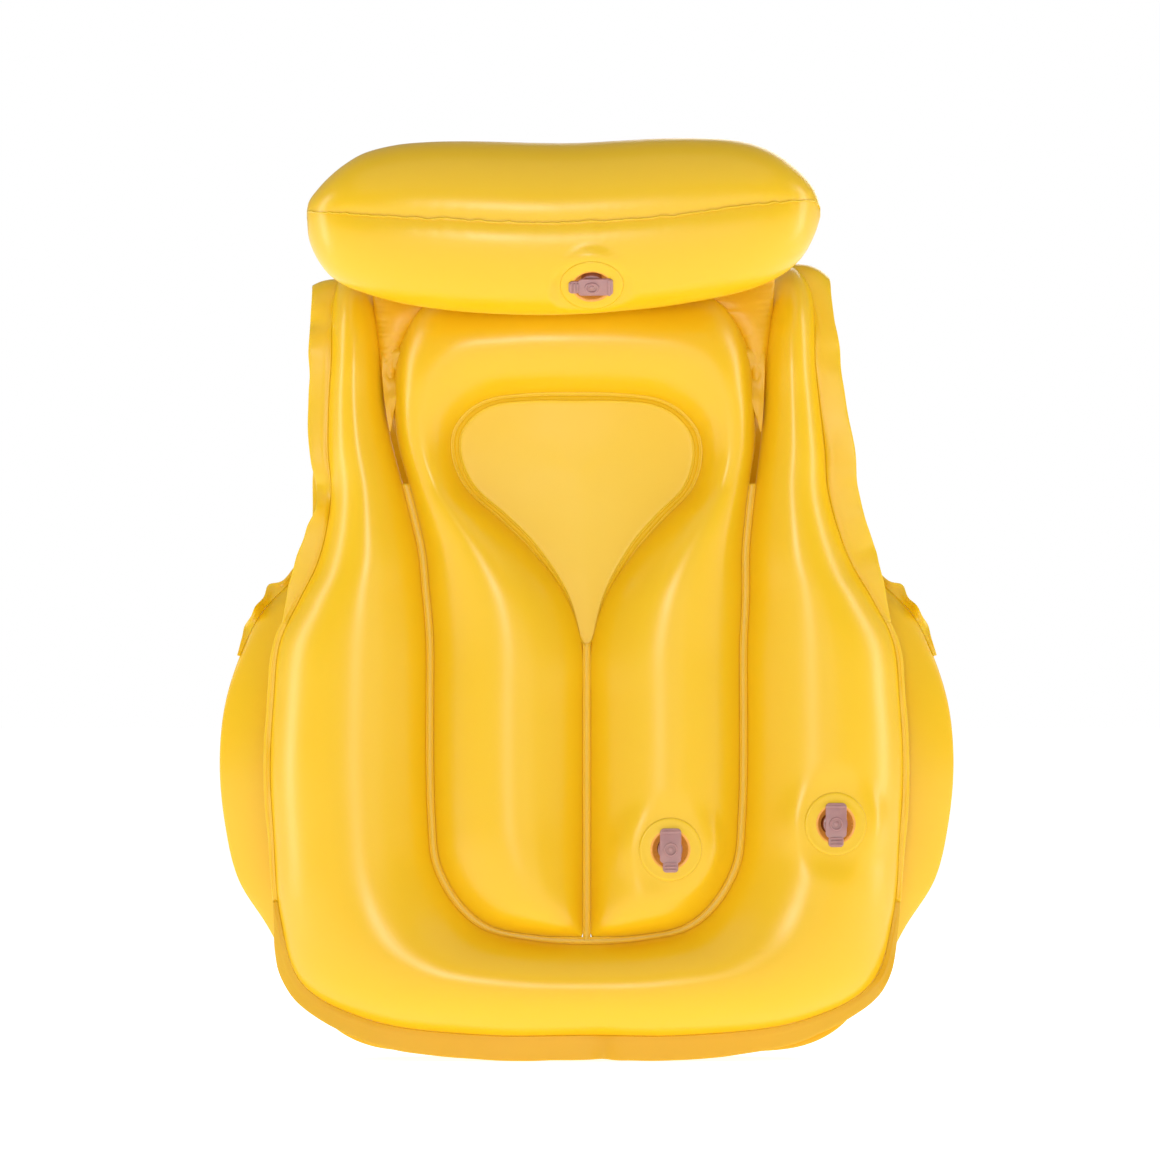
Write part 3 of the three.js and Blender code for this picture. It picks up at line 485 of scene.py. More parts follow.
def soft_vinyl(name, colour, deep, clear, roughness=0.22, painted_glow=0.0):
    """Moulded valve vinyl with faint clouding; the last argument is a painted glow, an emission that stands in for
    the daylight coming through the film round it.
    """
    material, tree, shader = nodes_of(name)
    clouds = ramp(tree, noise_at(tree, 160, 4), 0, 1)
    tree.links.new(blended(tree, clouds, colour, deep), shader.inputs["Base Color"])
    roughened(tree, shader, 500, 2, roughness - 0.04, roughness + 0.08)
    shader.inputs["IOR"].default_value = 1.5
    shader.inputs["Transmission Weight"].default_value = clear
    shader.inputs["Subsurface Weight"].default_value = 0.2
    shader.inputs["Subsurface Radius"].default_value = (1.0, 0.5, 0.4)
    # Painted glow: the vinyl's own colour given off as light, though it is no lamp.
    shader.inputs["Emission Color"].default_value = (*colour, 1)
    shader.inputs["Emission Strength"].default_value = painted_glow
    shader.inputs["Subsurface Scale"].default_value = 0.002
    bumped(tree, shader, noise_at(tree, 300, 1), 0.00004)
    return material


def woven(name, colour, deep):
    """Polyester webbing: ribs across the tape and a twill between them."""
    material, tree, shader = nodes_of(name)
    where = add(tree, "ShaderNodeTexCoord")
    ribs = add(tree, "ShaderNodeTexWave", bands_direction="X", Scale=420.0, Distortion=0.6, Detail=1.0)
    rows = add(tree, "ShaderNodeTexWave", bands_direction="Z", Scale=160.0, Distortion=1.2, Detail=1.0)
    for wave in (ribs, rows):
        tree.links.new(where.outputs["Object"], wave.inputs["Vector"])
    both = add(tree, "ShaderNodeMath", operation="MULTIPLY")
    tree.links.new(ribs.outputs["Fac"], both.inputs[0])
    tree.links.new(rows.outputs["Fac"], both.inputs[1])
    tree.links.new(blended(tree, both.outputs["Value"], deep, colour), shader.inputs["Base Color"])
    shader.inputs["Roughness"].default_value = 0.82
    shader.inputs["Sheen Weight"].default_value = 0.25
    bumped(tree, shader, both.outputs["Value"], 0.0004)
    return material


def moulded(name, colour, deep):
    """Injection-moulded acetal with a fine spark-eroded grain."""
    material, tree, shader = nodes_of(name)
    tree.links.new(blended(tree, noise_at(tree, 90, 3), deep, colour), shader.inputs["Base Color"])
    roughened(tree, shader, 300, 3, 0.36, 0.52)
    bumped(tree, shader, noise_at(tree, 2200, 2), 0.00006)
    return material


FILM = vinyl("yellow_film", (0.845, 0.515, 0.006), (0.84, 0.507, 0.006), 0.29)
PILLOW_FILM = vinyl("yellow_film_pillow", (0.845, 0.52, 0.006), (0.84, 0.51, 0.006), 0.3)
PANEL_FILM = vinyl("yellow_film_flat", (0.85, 0.515, 0.006), (0.84, 0.505, 0.006), 0.4, grain=0.00003)
HEM = vinyl("hem_film", (0.70, 0.405, 0.004), (0.68, 0.39, 0.004), 0.5, grain=0.00004, see_through=0.15)
# Film painted a deeper orange than the rest: painted shade for the folds beside the neck and the shadow under the
# pillow.
SHADED_FOLD = vinyl("folded_film_painted_shade", (0.80, 0.43, 0.004), (0.78, 0.41, 0.004), 0.4, grain=0.00004, see_through=0.15)
WELD = vinyl("welded_film", (0.84, 0.51, 0.005), (0.83, 0.50, 0.005), 0.36, grain=0.00004, see_through=0.2)
# Weld film painted lighter than the film beside it: a painted highlight, so the bead reads as the light line along
# the weld, not a shaded groove.
SEAM_PAINTED_LIGHT = vinyl("raised_weld_painted_highlight", (0.96, 0.56, 0.008), (0.95, 0.55, 0.008), 0.34)
VALVE = soft_vinyl("valve_vinyl", (0.50, 0.27, 0.25), (0.44, 0.23, 0.23), clear=0.15, roughness=0.14)
# The seat's cup is painted a darker orange, painted shade for the chamber's inside seen through its clear vinyl, and
# given a painted glow for the daylight through the film round it.
VALVE_SEAT_SHADE_AND_GLOW = soft_vinyl("valve_seat_painted_shade_and_glow", (0.66, 0.29, 0.05), (0.60, 0.25, 0.04), clear=0.0, painted_glow=0.36)
FLAP = soft_vinyl("check_flap_vinyl", (0.5, 0.33, 0.3), (0.42, 0.25, 0.22), clear=0.2)
WEBBING = woven("black_webbing", (0.03, 0.03, 0.033), (0.008, 0.008, 0.009))
BUCKLE = moulded("buckle_acetal", (0.02, 0.02, 0.022), (0.012, 0.012, 0.013))

# ---------------------------------------------------------------- back panel


def back_depth(width, share):
    """A wide chamber is deeper than a narrow one, up to BACK_DEPTH."""
    return BACK_DEPTH * (1 - math.exp(-width / BACK_ROUNDNESS))


outer_bm = between(hull_line, inner_line, 330, 64, back_depth, worn, pucker=0.05, seed=2)
outer = finished(outer_bm, "outer_air_chamber", FILM, None, "film", "back_outer_chamber")
inflate(outer, (hull_line, inner_line))
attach(outer, "back_panel")


def inner_lines():
    clear = WELD_HALF
    beside_core = [on_sheet(max(p.x, 0) + clear, p.z) for p in core]
    leg_outer = towards(seam, core, clear)[1:]
    neck, top = column(NECK_ROWS, 0), column(NECK_ROWS, 2)
    outer_edge = [on_sheet(3.2, 73.6)] + leg_outer + neck
    inner_edge = [on_sheet(clear, 78)] + beside_core[1:] + towards(top, neck, clear)
    return Line(both_sides(outer_edge[::-1])), Line(both_sides(inner_edge[::-1]))


inner_edges = inner_lines()
inner_bm = between(*inner_edges, 330, 60, back_depth, worn, pucker=0.05, seed=12)
inner = finished(inner_bm, "inner_air_chamber", FILM, None, "film", "back_inner_chamber")
inflate(inner, inner_edges)
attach(inner, "back_panel")


BEAD_AROUND = 16  # cells round a weld's section
BEAD_BASE, BEAD_SWELL = 0.55, 0.45  # shares of a weld's height


def weld_strip(line_a, line_b, steps, height):
    """A weld as a low bead between two lines, the same on both faces."""
    bm = bmesh.new()
    bmesh.ops.create_grid(bm, x_segments=BEAD_AROUND, y_segments=steps, size=0.5)
    for v in bm.verts:
        turn, share = (v.co.x + 0.5) * math.tau, v.co.y + 0.5
        a, b = line_a.at(share), line_b.at(share)
        across, side = math.cos(turn), math.sin(turn)
        bulge = height * (BEAD_BASE + BEAD_SWELL * math.cos(math.tau * across)) if abs(side) > 1e-6 else 0.0
        v.co = worn((a + b) / 2 + (a - b) / 2 * across + Vector((0, math.copysign(bulge, side), 0)))
    return closed(bm)


WELD_LAP = 0.4  # how far the ring weld reaches under the chambers beside it
CENTRE_HALF, CENTRE_HEIGHTS = 2.3, (72, 100, 160, 220, 250)
ring_edges = [Line(both_sides(towards(seam, way, WELD_HALF + WELD_LAP)[:-1])) for way in (hull, core)]
finished(weld_strip(*ring_edges, 420, 3.0), "ring_weld", SEAM_PAINTED_LIGHT, "back_panel", "weld", "back_ring_weld")
centre_edges = [Line([on_sheet(x, z) for z in CENTRE_HEIGHTS]) for x in (-CENTRE_HALF, CENTRE_HALF)]
finished(weld_strip(*centre_edges, 120, 2.8), "centre_weld", SEAM_PAINTED_LIGHT, "back_panel", "weld", "back_centre_weld")

# Distances in from the teardrop panel's edge, close together at its groove and at its raised weld line.
TEARDROP_RINGS = (0, 0.8, 1.4, 1.9, 2.3, 2.7, 3.2, 4.2, 4.9, 5.25, 5.6, 5.95, 6.3, 7, 9)
TEARDROP_MIDDLE_RINGS, TEARDROP_AROUND = 14, 260
TEARDROP_MIDDLE_Z = 352
TEARDROP_LAP = 2.4  # how far the panel reaches under the chamber round it
TIP_WIDER, TIP_LOW, TIP_HIGH = 2.6, 270, 330  # the panel's tip is that much wider below these heights
TEARDROP_SWELL = 1.0
LINE_HEIGHT, LINE_AT, LINE_SPREAD = 1.1, 5.6, 0.5
GROOVE_DEPTH, GROOVE_AT, GROOVE_SPREAD = 1.0, 2.3, 0.7


def teardrop():
    """The flat panel inside the inner chamber, with a raised weld line a little inside its edge."""
    half = [on_sheet(0, core[8].z)] + [p.copy() for p in core[9:]] + column(NECK_ROWS, 2)
    outline = Line(half + [mirrored(p) for p in reversed(half[1:-1])] + [half[0]])
    middle = on_sheet(0, TEARDROP_MIDDLE_Z)
    outer_rings, last_ring = len(TEARDROP_RINGS), TEARDROP_RINGS[-1]
    rings = outer_rings + TEARDROP_MIDDLE_RINGS
    bm = bmesh.new()
    bmesh.ops.create_grid(bm, x_segments=rings, y_segments=TEARDROP_AROUND, size=0.5)
    for v in bm.verts:
        ring, share = round((v.co.x + 0.5) * rings), v.co.y + 0.5
        edge = outline.at(share % 1.0)
        edge = edge + (edge - middle).normalized() * TEARDROP_LAP
        wider = math.copysign(min(abs(edge.x) * 2, TIP_WIDER), edge.x)
        edge.x += wider * (1 - eased(edge.z, TIP_LOW, TIP_HIGH))
        reach = (edge - middle).length
        if ring < outer_rings:
            inside = TEARDROP_RINGS[ring]
        elif ring < rings:
            inside = last_ring + (reach - last_ring) * (ring - outer_rings + 1) / (rings - outer_rings + 1)
        else:
            inside = reach
        spot = edge + (middle - edge) * (inside / reach)
        swell = TEARDROP_SWELL * (1 - (1 - inside / reach) ** 2)
        line = LINE_HEIGHT * bell((inside - LINE_AT) / LINE_SPREAD)
        groove = GROOVE_DEPTH * bell((inside - GROOVE_AT) / GROOVE_SPREAD)
        spot.y -= swell + line - groove + 0.5 * rough(spot.x + 40, 3, 40) * min(inside / 12, 1)
        v.co = worn(spot)
    bmesh.ops.remove_doubles(bm, verts=bm.verts, dist=MERGE)
    bmesh.ops.recalc_face_normals(bm, faces=bm.faces)
    bmesh.ops.solidify(bm, geom=list(bm.faces), thickness=0.0006)
    return bm


finished(teardrop(), "teardrop_panel", PANEL_FILM, "back_panel", "film", "back_teardrop_panel")

def web_depth(width, share):
    """The crumpled film beside the neck is full below and flat where it ends under the pillow."""
    return 0.75 * width * (1 - 0.9 * eased(share, 0.55, 1)) + 0.8


def before_sheet(p):
    """A place NECK_OUT outside the back panel's sheet, for the neck margins."""
    return worn(p - Vector((0, NECK_OUT, 0)))


# Rows of the chambers' lines, counted from the middle of the hem.
SIDE_START, SIDE_END = 4.2, 8.6
ARMHOLE_START, ARMHOLE_END = 8.4, 17.8
NECK_START, NECK_END, NECK_OUT = 13.2, 17.0, 5

HEM_WIDTHS = (3, 8.5, 12.5, 15, 15.2, 15, 11, 6.5, 3)
HEM_WAVES = (
    (0.1, 0.05, 2, 1),
    (0.3, 0.06, -1.5, 0.5),
    (0.52, 0.012, -2.5, -1),
    (0.68, 0.05, 1.5, 0),
    (0.88, 0.06, -2, 1),
)
SIDE_WIDTHS = (3, 4, 4, 4, 3)
# The armhole margins from the side up to the shoulder.
ARMHOLE_WIDTHS = {
    "left": (3, 10, 13, 12, 8.5, 11, 12, 12, 14, 13, 12.5, 12),
    "right": (3, 12, 17, 18, 18, 18, 16.5, 15.5, 15, 12, 10, 9),
}
ARMHOLE_WAVES = {
    "left": ((0.33, 0.03, -4, -1), (0.40, 0.035, 4, 0), (0.82, 0.03, 4, 0), (0.6, 0.08, 2, 0.5)),
    "right": ((0.2, 0.06, 3, 0), (0.45, 0.08, -3, 0.5), (0.7, 0.05, 2.5, 0)),
}
ARMHOLE_TIPS = {"left": (9, 0), "right": (0, 18)}
# The neck margins from below up to the pillow.
NECK_WIDTHS = (1, 6, 12, 15, 16, 12, 7, 2)
NECK_WAVES = (
    (0.2, 0.05, -3, 1.0),
    (0.36, 0.045, 4, -1.5),
    (0.52, 0.05, -5, 1.5),
    (0.66, 0.04, 3, -1),
    (0.8, 0.05, -3, 1),
)
# x and z of the neck webs' edges, at the shoulder tube and at the inner chamber.
WEB_TUBE = ((111, 385), (114, 400), (116, 416), (118, 434), (120, 453), (121, 472))
WEB_CHAMBER = ((109, 385), (107, 400), (104, 418), (98, 434), (86, 450), (64, 468))


def beside(line, way, start, end, widths, waves, side, steps, place, seed, tip=(0, 0)):
    """A margin up one side of the back panel; on the left its line runs downwards, so its tables are turned round."""
    rows = sorted((MIDDLE_ROW + way * start, MIDDLE_ROW + way * end))
    if way < 0:
        widths, waves = widths[::-1], [(1 - at, *rest) for at, *rest in waves]
    return margin(line, *rows, side, widths, steps, place, waves, seed=seed, tip=tip)


hem_rows = (MIDDLE_ROW - SIDE_START, MIDDLE_ROW + SIDE_START)
hem = margin(hull_line, *hem_rows, 1, HEM_WIDTHS, 330, worn, HEM_WAVES, seed=21)
finished(hem, "hem_margin", HEM, "back_panel", "weld", "back_hem_flange")
for side, way in SIDES.items():
    flange = beside(
        hull_line, way, ARMHOLE_START, ARMHOLE_END, ARMHOLE_WIDTHS[side], ARMHOLE_WAVES[side], 1, 170, worn,
        seed=31 + way, tip=ARMHOLE_TIPS[side],
    )
    finished(flange, f"armhole_margin_{side}", WELD, "back_panel", "weld", f"armhole_flange_{side}")
    wing = beside(
        inner_line, way, NECK_START, NECK_END, NECK_WIDTHS, NECK_WAVES, -1, 150, before_sheet, seed=41 + way,
    )
    finished(wing, f"neck_margin_{side}", SHADED_FOLD, "back_panel", "weld", f"neck_flange_{side}")
    web_edges = [Line([on_sheet(x * way, z) for x, z in row]) for row in (WEB_TUBE, WEB_CHAMBER)]
    web_bm = between(*web_edges, 90, 60, web_depth, worn, bow=1.3, pucker=1.6, seed=45 + way)
    finished(web_bm, f"neck_web_{side}", SHADED_FOLD, "back_panel", "film")
    crease = beside(hull_line, way, SIDE_START, SIDE_END, SIDE_WIDTHS, (), 1, 110, worn, seed=51 + way)
    finished(crease, f"side_weld_strip_{side}", WELD, "back_panel", "weld", f"side_weld_{side}")

# ---------------------------------------------------------------- front panels

TURN_ROWS = 5  # rows of the shoulder's turn before FRONT_ROWS


def front_full(share):
    """How full a front chamber is at a share of its length."""
    place = share * (TURN_ROWS + len(FRONT_ROWS) - 1) - TURN_ROWS
    row = min(max(int(place), 0), len(FRONT_ROWS) - 2)
    part = min(max(place - row, 0), 1)
    return FRONT_ROWS[row][4] * (1 - part) + FRONT_ROWS[row + 1][4] * part


def front_depth(width, share):
    return min(FRONT_DEPTH, FULLNESS * width) * front_full(share)


# x and z of the front hem's margin, along the chamber and along its free edge.
FRONT_HEM_TOP = ((20, 44), (33, 27), (44, 21.5), (92, 21), (138, 23), (148, 33), (162, 50), (174, 64))
FRONT_HEM_EDGE = ((8, 38), (20, 9), (36, 2.5), (92, 2), (130, 6), (150, 15.5), (164, 30), (178, 52))
OPENING_WIDTHS = (3, 9, 9, 9, 9, 8, 4)
FRONT_ARMHOLE_WIDTHS = (5, 9, 10, 10, 8, 4, 4.5, 2)
FRONT_ARMHOLE_WAVES = (
    (0.5, 0.05, 4, 1),
    (0.66, 0.03, -6, 0),
    (0.8, 0.022, 5, 4),
    (0.86, 0.02, -6, 1),
    (0.92, 0.02, 4, 1),
)
FRONT_ARMHOLE_ROWS, OPENING_ROWS = (2.5, 10.0), (8.5, 17)


def front_line(points, way):
    return Line([Vector((p.x * way, p.y, p.z)) for p in points])


def hem_depth(width, share):
    return MARGIN_THICK


front_side = shoulder_turn(SHOULDER_OUTER, True)[::-1] + column(FRONT_ROWS, 0, True)
front_edge = shoulder_turn(SHOULDER_INNER, True)[::-1] + column(FRONT_ROWS, 2, True)
for side, way in SIDES.items():
    outer_edge, opening = front_line(front_side, way), front_line(front_edge, way)
    panel_bm = between(
        outer_edge, opening, 230, 72, front_depth, worn, curl=FRONT_WRAP / -HALF_WIDTH**2, pucker=0.08, seed=61 + way,
    )
    panel = finished(panel_bm, f"front_air_chamber_{side}", FILM, None, "film", f"front_{side}_chamber")
    inflate(panel, (outer_edge, opening))
    hem_lines = [front_line([on_sheet(x, z, True) for x, z in row], way) for row in (FRONT_HEM_TOP, FRONT_HEM_EDGE)]
    edges = {
        "hem": between(*hem_lines, 110, 26, hem_depth, worn, bow=MARGIN_CORNER),
        "opening": margin(opening, *OPENING_ROWS, way, OPENING_WIDTHS, 220, worn, seed=81 + way),
        "armhole": margin(
            outer_edge, *FRONT_ARMHOLE_ROWS, -way, FRONT_ARMHOLE_WIDTHS, 230, worn, FRONT_ARMHOLE_WAVES,
            seed=91 + way,
        ),
    }
    made = [panel]
    for part, edge in edges.items():
        made.append(finished(edge, f"front_{part}_margin_{side}", WELD, None, "weld", f"front_{side}_{part}_flange"))
    for piece in made:
        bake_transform(piece)

# ---------------------------------------------------------------- head pillow

pillow_top = Line([(x, 0, top) for x, top, _ in PILLOW_ROWS])
pillow_foot = Line([(x, 0, foot) for x, _, foot in PILLOW_ROWS])
seam_heights = Line([(x, 0, z) for x, z in PILLOW_SEAM])
HALVINGS = 18
PILLOW_FULL, PILLOW_FLAT = 0.55, 0.9  # how deep the pillow is against PILLOW_DEPTH, and against its own height
PILLOW_MIDDLE, PILLOW_HALF, PILLOW_BOW = -14, 153, 8  # its ends bend forward by its bow
WELD_FOOT, WELD_TOP = 0.3, 0.25  # the least shares of the height below and above the weld
GROOVE, GROOVE_REACH = 3.2, 9  # how far the weld draws the film in, and how far that is felt


def seam_height(x):
    """The pillow weld's height at x."""
    low, high = 0.0, 1.0
    for _ in range(HALVINGS):
        middle = (low + high) / 2
        low, high = (middle, high) if seam_heights.at(middle).x < x else (low, middle)
    return seam_heights.at(low).z


def pillow_spot(share, turn):
    """A point of the pillow's film: share runs along it, turn runs round it from the weld behind the head."""
    top, foot = pillow_top.at(share), pillow_foot.at(share)
    x, height = (top.x + foot.x) / 2, top.z - foot.z
    flatness = (PILLOW_DEPTH / max(PILLOW_FLAT * height, 0.1)) ** 4
    depth = PILLOW_FULL * PILLOW_DEPTH * (1 + flatness) ** -0.25
    weld = min(max(seam_height(x), foot.z + WELD_FOOT * height), top.z - WELD_TOP * height)
    up = math.sin(turn)
    z = weld + (top.z - weld) * up if up > 0 else weld + (weld - foot.z) * up
    out = math.copysign(abs(math.cos(turn)) ** 0.9, -math.cos(turn))
    away = abs(z - weld)
    length = x + 3 * math.copysign(1, out)
    z += (0.8 * rough(length, 6, 7.5) + 0.35 * rough(length, 16, 3.1)) * bell(away / 3.2)
    drawn = GROOVE * math.exp(-away / GROOVE_REACH) * eased(depth, 10, 40)
    back = depth - drawn + 0.35 * rough(length, 4, 3.6) * math.exp(-away / 4)
    bow = PILLOW_BOW * ((x - PILLOW_MIDDLE) / PILLOW_HALF) ** 2
    return Vector((x, PILLOW_Y + bow + out * back, z))


def pillow_share(part):
    """Shares crowded towards the pillow's round ends."""
    swing = math.cos(math.pi * part)
    return 0.5 - 0.5 * swing * (0.55 + 0.45 * abs(swing))


def hung(p):
    """A pillow point in metres in the frame; the pillow doesn't lean with the shoulders."""
    return (p + OFFSET) * MM


PILLOW_STEPS, PILLOW_AROUND = 420, 112
PILLOW_CROWDING = 0.21  # more rings towards the weld than towards the top and the foot


def pillow_shell():
    """Two films welded round the pillow's equator, drawn in a little along the crimped weld."""
    bm = bmesh.new()
    bmesh.ops.create_grid(bm, x_segments=PILLOW_AROUND, y_segments=PILLOW_STEPS, size=0.5)
    for v in bm.verts:
        turn, share = (v.co.x + 0.5) * math.tau, v.co.y + 0.5
        turn -= PILLOW_CROWDING * math.sin(2 * turn)
        v.co = hung(pillow_spot(pillow_share(share), turn))
    return closed(bm)


pillow = finished(pillow_shell(), "head_pillow_chamber", PILLOW_FILM, "head_pillow", "film", "pillow_chamber")

# The lip's section, up and out from the weld.
LIP = ((-0.5, -0.6), (-0.5, 0.7), (-0.35, 1.2), (0.35, 1.2), (0.5, 0.7), (0.5, -0.6), (-0.5, -0.6))
LIP_STEPS, LIP_START = 1500, 0.012


def pillow_weld():
    """The narrow crimped lip that stands out all along the pillow's weld."""
    bm = bmesh.new()
    corners = len(LIP) - 1
    bmesh.ops.create_grid(bm, x_segments=corners, y_segments=LIP_STEPS, size=0.5)
    for v in bm.verts:
        up, out = LIP[round((v.co.x + 0.5) * corners)]
        part = 2 * (round((v.co.y + 0.5) * LIP_STEPS) % LIP_STEPS) / LIP_STEPS
        behind = part < 1
        share = pillow_share(LIP_START + (1 - 2 * LIP_START) * (part if behind else 2 - part))
        spot = pillow_spot(share, 0 if behind else math.pi)
        crimp = 0.6 * rough(spot.x if behind else -spot.x, 24, 2.6) * max(out, 0)
        v.co = hung(spot + Vector((0, -out if behind else out, up + crimp)))
    bmesh.ops.remove_doubles(bm, verts=bm.verts, dist=MERGE)
    return bm


finished(pillow_weld(), "pillow_crimped_weld", WELD, "head_pillow", "weld", "pillow_seam_weld")


WEB_SAG, WEB_ARCH, WEB_HALF = 1.5, 11, 90  # the web's foot hangs below its box, lowest at its ends


def web():
    """The slack web that hangs the pillow on the neck edge."""
    low, high = (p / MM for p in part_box("pillow_web"))
    bm = bmesh.new()
    bmesh.ops.create_grid(bm, x_segments=120, y_segments=22, size=0.5)
    for v in bm.verts:
        across, up = v.co.x + 0.5, v.co.y + 0.5
        half = (high.x - low.x) / 2 * (1 - 0.16 * (1 - up) ** 2 + 0.06 * up)
        x = (2 * across - 1) * half - LEAN + 2
        foot = low.z - WEB_SAG - WEB_ARCH * (abs(x + LEAN) / WEB_HALF) ** 3
        slack = math.sin(math.pi * up)
        y = (low.y + high.y) / 2 + slack * (1.5 * rough(x, 2, 17) - 2.2) + 3.2 * up * up
        v.co = Vector((x, y, foot + (high.z + 3 - foot) * up)) * MM
    bmesh.ops.recalc_face_normals(bm, faces=bm.faces)
    bmesh.ops.solidify(bm, geom=list(bm.faces), thickness=0.0008)
    return bm


finished(web(), "pillow_hanging_web", WELD, "back_panel", "weld", "pillow_web")

# ---------------------------------------------------------------- valves

joints = {joint["name"]: joint for joint in frame["joints"]}
CUP, CUP_DEPTH, DISC = 11, 12, 19
STEM, STEM_LENGTH, BORE = 6.2, 23, 3.9
SOCKET, SOCKET_DEPTH = 5.2, 19.8  # where the check flap lies in the stem
HINGE_UP, HINGE_OUT = 12, 1
SEAT_SPREAD = {"inner": 36, "outer": 36, "pillow": 27}  # how far round a valve its chamber's film is drawn flat
SEAT_FLAT, SEAT_REACH, SEAT_SUNK = 19.5, 20, 0.5
HOLE_LONG = 0.06  # metres


def seat_of(valve):
    """The valve's own frame: x across the stopper, y into the chamber, z towards the stopper's hinge."""
    into = -Vector(joints[f"stem_{valve}_slide"]["axis"]).normalized()
    across = -Vector(joints[f"stopper_{valve}_hinge"]["axis"]).normalized()
    up = across.cross(into).normalized()
    middle = Vector(joints[f"stopper_{valve}_hinge"]["pos_m"]) - up * HINGE_UP * MM + into * HINGE_OUT * MM
    return Matrix((across, into, up)).transposed().to_4x4(), middle


def turned(profile, segments):
    """A ring turned from pairs of radius and depth; the profile is closed when it ends where it starts."""
    bm = bmesh.new()
    ring = [bm.verts.new((r, d, 0)) for r, d in profile]
    edges = [bm.edges.new(pair) for pair in zip(ring, ring[1:])]
    bmesh.ops.spin(
        bm, geom=ring + edges, cent=(0, 0, 0), axis=(0, 1, 0), angle=math.tau, steps=segments, use_merge=True,
    )
    bmesh.ops.remove_doubles(bm, verts=bm.verts, dist=1e-4)
    return bm


def seat_in(obj, valve):
    """Flattens a chamber's film where a valve's disc is welded to it."""
    spread = SEAT_SPREAD[valve]
    turn, middle = seat_of(valve)
    into = turn.col[1].to_3d()
    for v in obj.data.vertices:
        rel = v.co - middle
        depth = rel.dot(into)
        reach = (rel - into * depth).length / MM
        if reach < spread and depth < SEAT_REACH * MM:
            v.co += into * (SEAT_SUNK * MM - depth) * (1 - eased(reach, SEAT_FLAT, spread))
    obj.data.update()


def placed(bm, valve):
    turn, middle = seat_of(valve)
    bmesh.ops.transform(bm, matrix=Matrix.Translation(middle) @ turn @ Matrix.Scale(MM, 4), verts=bm.verts)
    return bm


def join(target, other):
    """Adds one mesh to another."""
    mesh = bpy.data.meshes.new("part")
    other.to_mesh(mesh)
    other.free()
    target.from_mesh(mesh)
    bpy.data.meshes.remove(mesh)


def rounded_plate(x0, x1, z0, z1, y0, y1, radius, edge):
    """A plate with round corners and softened edges, in the valve's own frame."""
    bm = bmesh.new()
    bmesh.ops.create_cube(bm, size=1)
    for v in bm.verts:
        v.co = Vector((x0 if v.co.x < 0 else x1, y0 if v.co.y < 0 else y1, z0 if v.co.z < 0 else z1))
    corners = [e for e in bm.edges if abs(e.verts[0].co.y - e.verts[1].co.y) > 1e-6]
    bmesh.ops.bevel(bm, geom=corners, offset=radius, segments=8, profile=0.5, affect="EDGES", material=-1)
    rims = [e for e in bm.edges if any(len(f.verts) > 8 for f in e.link_faces)]
    bmesh.ops.bevel(bm, geom=rims, offset=edge, segments=3, profile=0.5, affect="EDGES", material=-1)
    return bm


def valve_seat():
    """The welded disc, the cup sunk in the chamber and its floor."""
    foot = CUP_DEPTH + 1.2
    disc = (
        (CUP - 0.4, 0.1), (CUP + 0.2, -0.35), (CUP + 1.1, -0.5), (CUP + 2, -0.3), (DISC - 2.2, -0.2),
        (DISC - 1.4, -0.3), (DISC - 0.8, -0.2), (DISC - 0.2, 0.15), (DISC, 0.5), (DISC - 0.4, 1), (CUP + 1, 1),
    )
    cup = (
        (CUP + 1, foot), (STEM + 0.3, foot), (STEM + 0.3, CUP_DEPTH), (CUP - 1.2, CUP_DEPTH),
        (CUP - 0.3, CUP_DEPTH - 1.2), (CUP, 4), (CUP - 0.1, 1.2), (CUP - 0.4, 0.1),
    )
    return turned(disc + cup, 56)


def valve_stem():
    outside = (
        (BORE, 0.5), (BORE + 0.4, 0.3), (STEM + 0.8, 0.3), (STEM + 1.2, 0.6), (STEM + 1.2, 1.3), (STEM + 0.6, 2.2),
        (STEM, 3), (STEM, STEM_LENGTH - 0.4), (STEM - 0.4, STEM_LENGTH),
    )
    inside = ((SOCKET, STEM_LENGTH), (SOCKET, SOCKET_DEPTH), (BORE, SOCKET_DEPTH), (BORE, 0.5))
    return turned(outside + inside, 40)


def valve_stopper():
    """The stopper: its plate, its tab, its plug, the raised ring and pip, the ridged grip and the hinge end."""
    plug = ((0, -1.0), (3.3, -1.0), (3.2, 0.4), (2.5, 2.7), (2.1, 3), (0, 3))
    ring = ((3.0, -1.5), (3.0, -2.3), (3.3, -2.6), (3.9, -2.6), (4.2, -2.3), (4.2, -1.5))
    pip = ((0, -1.6), (1.6, -1.6), (1.6, -2.0), (1.3, -2.2), (0, -2.2))
    ridges = [rounded_plate(-3.6, 3.6, -13 + 2 * i, -12 + 2 * i, -2.3, -1.3, 0.45, 0.2) for i in range(3)]
    hinge_end = rounded_plate(-6.2, 6.2, 9.6, 11.2, -2.4, -1.3, 0.5, 0.3)
    bm = rounded_plate(-6.4, 6.4, -8.2, 12.6, -1.7, -0.3, 2.6, 0.35)
    tab = rounded_plate(-4.6, 4.6, -13.8, -6.5, -1.5, -0.4, 2.2, 0.3)
    for piece in (tab, turned(plug, 32), turned(ring, 40), turned(pip, 24), *ridges, hinge_end):
        join(bm, piece)
    return bm


def valve_flap():
    return turned(((0, 20.1), (4.3, 20.1), (4.6, 20.3), (4.6, 20.5), (4.3, 20.6), (0, 20.6)), 32)


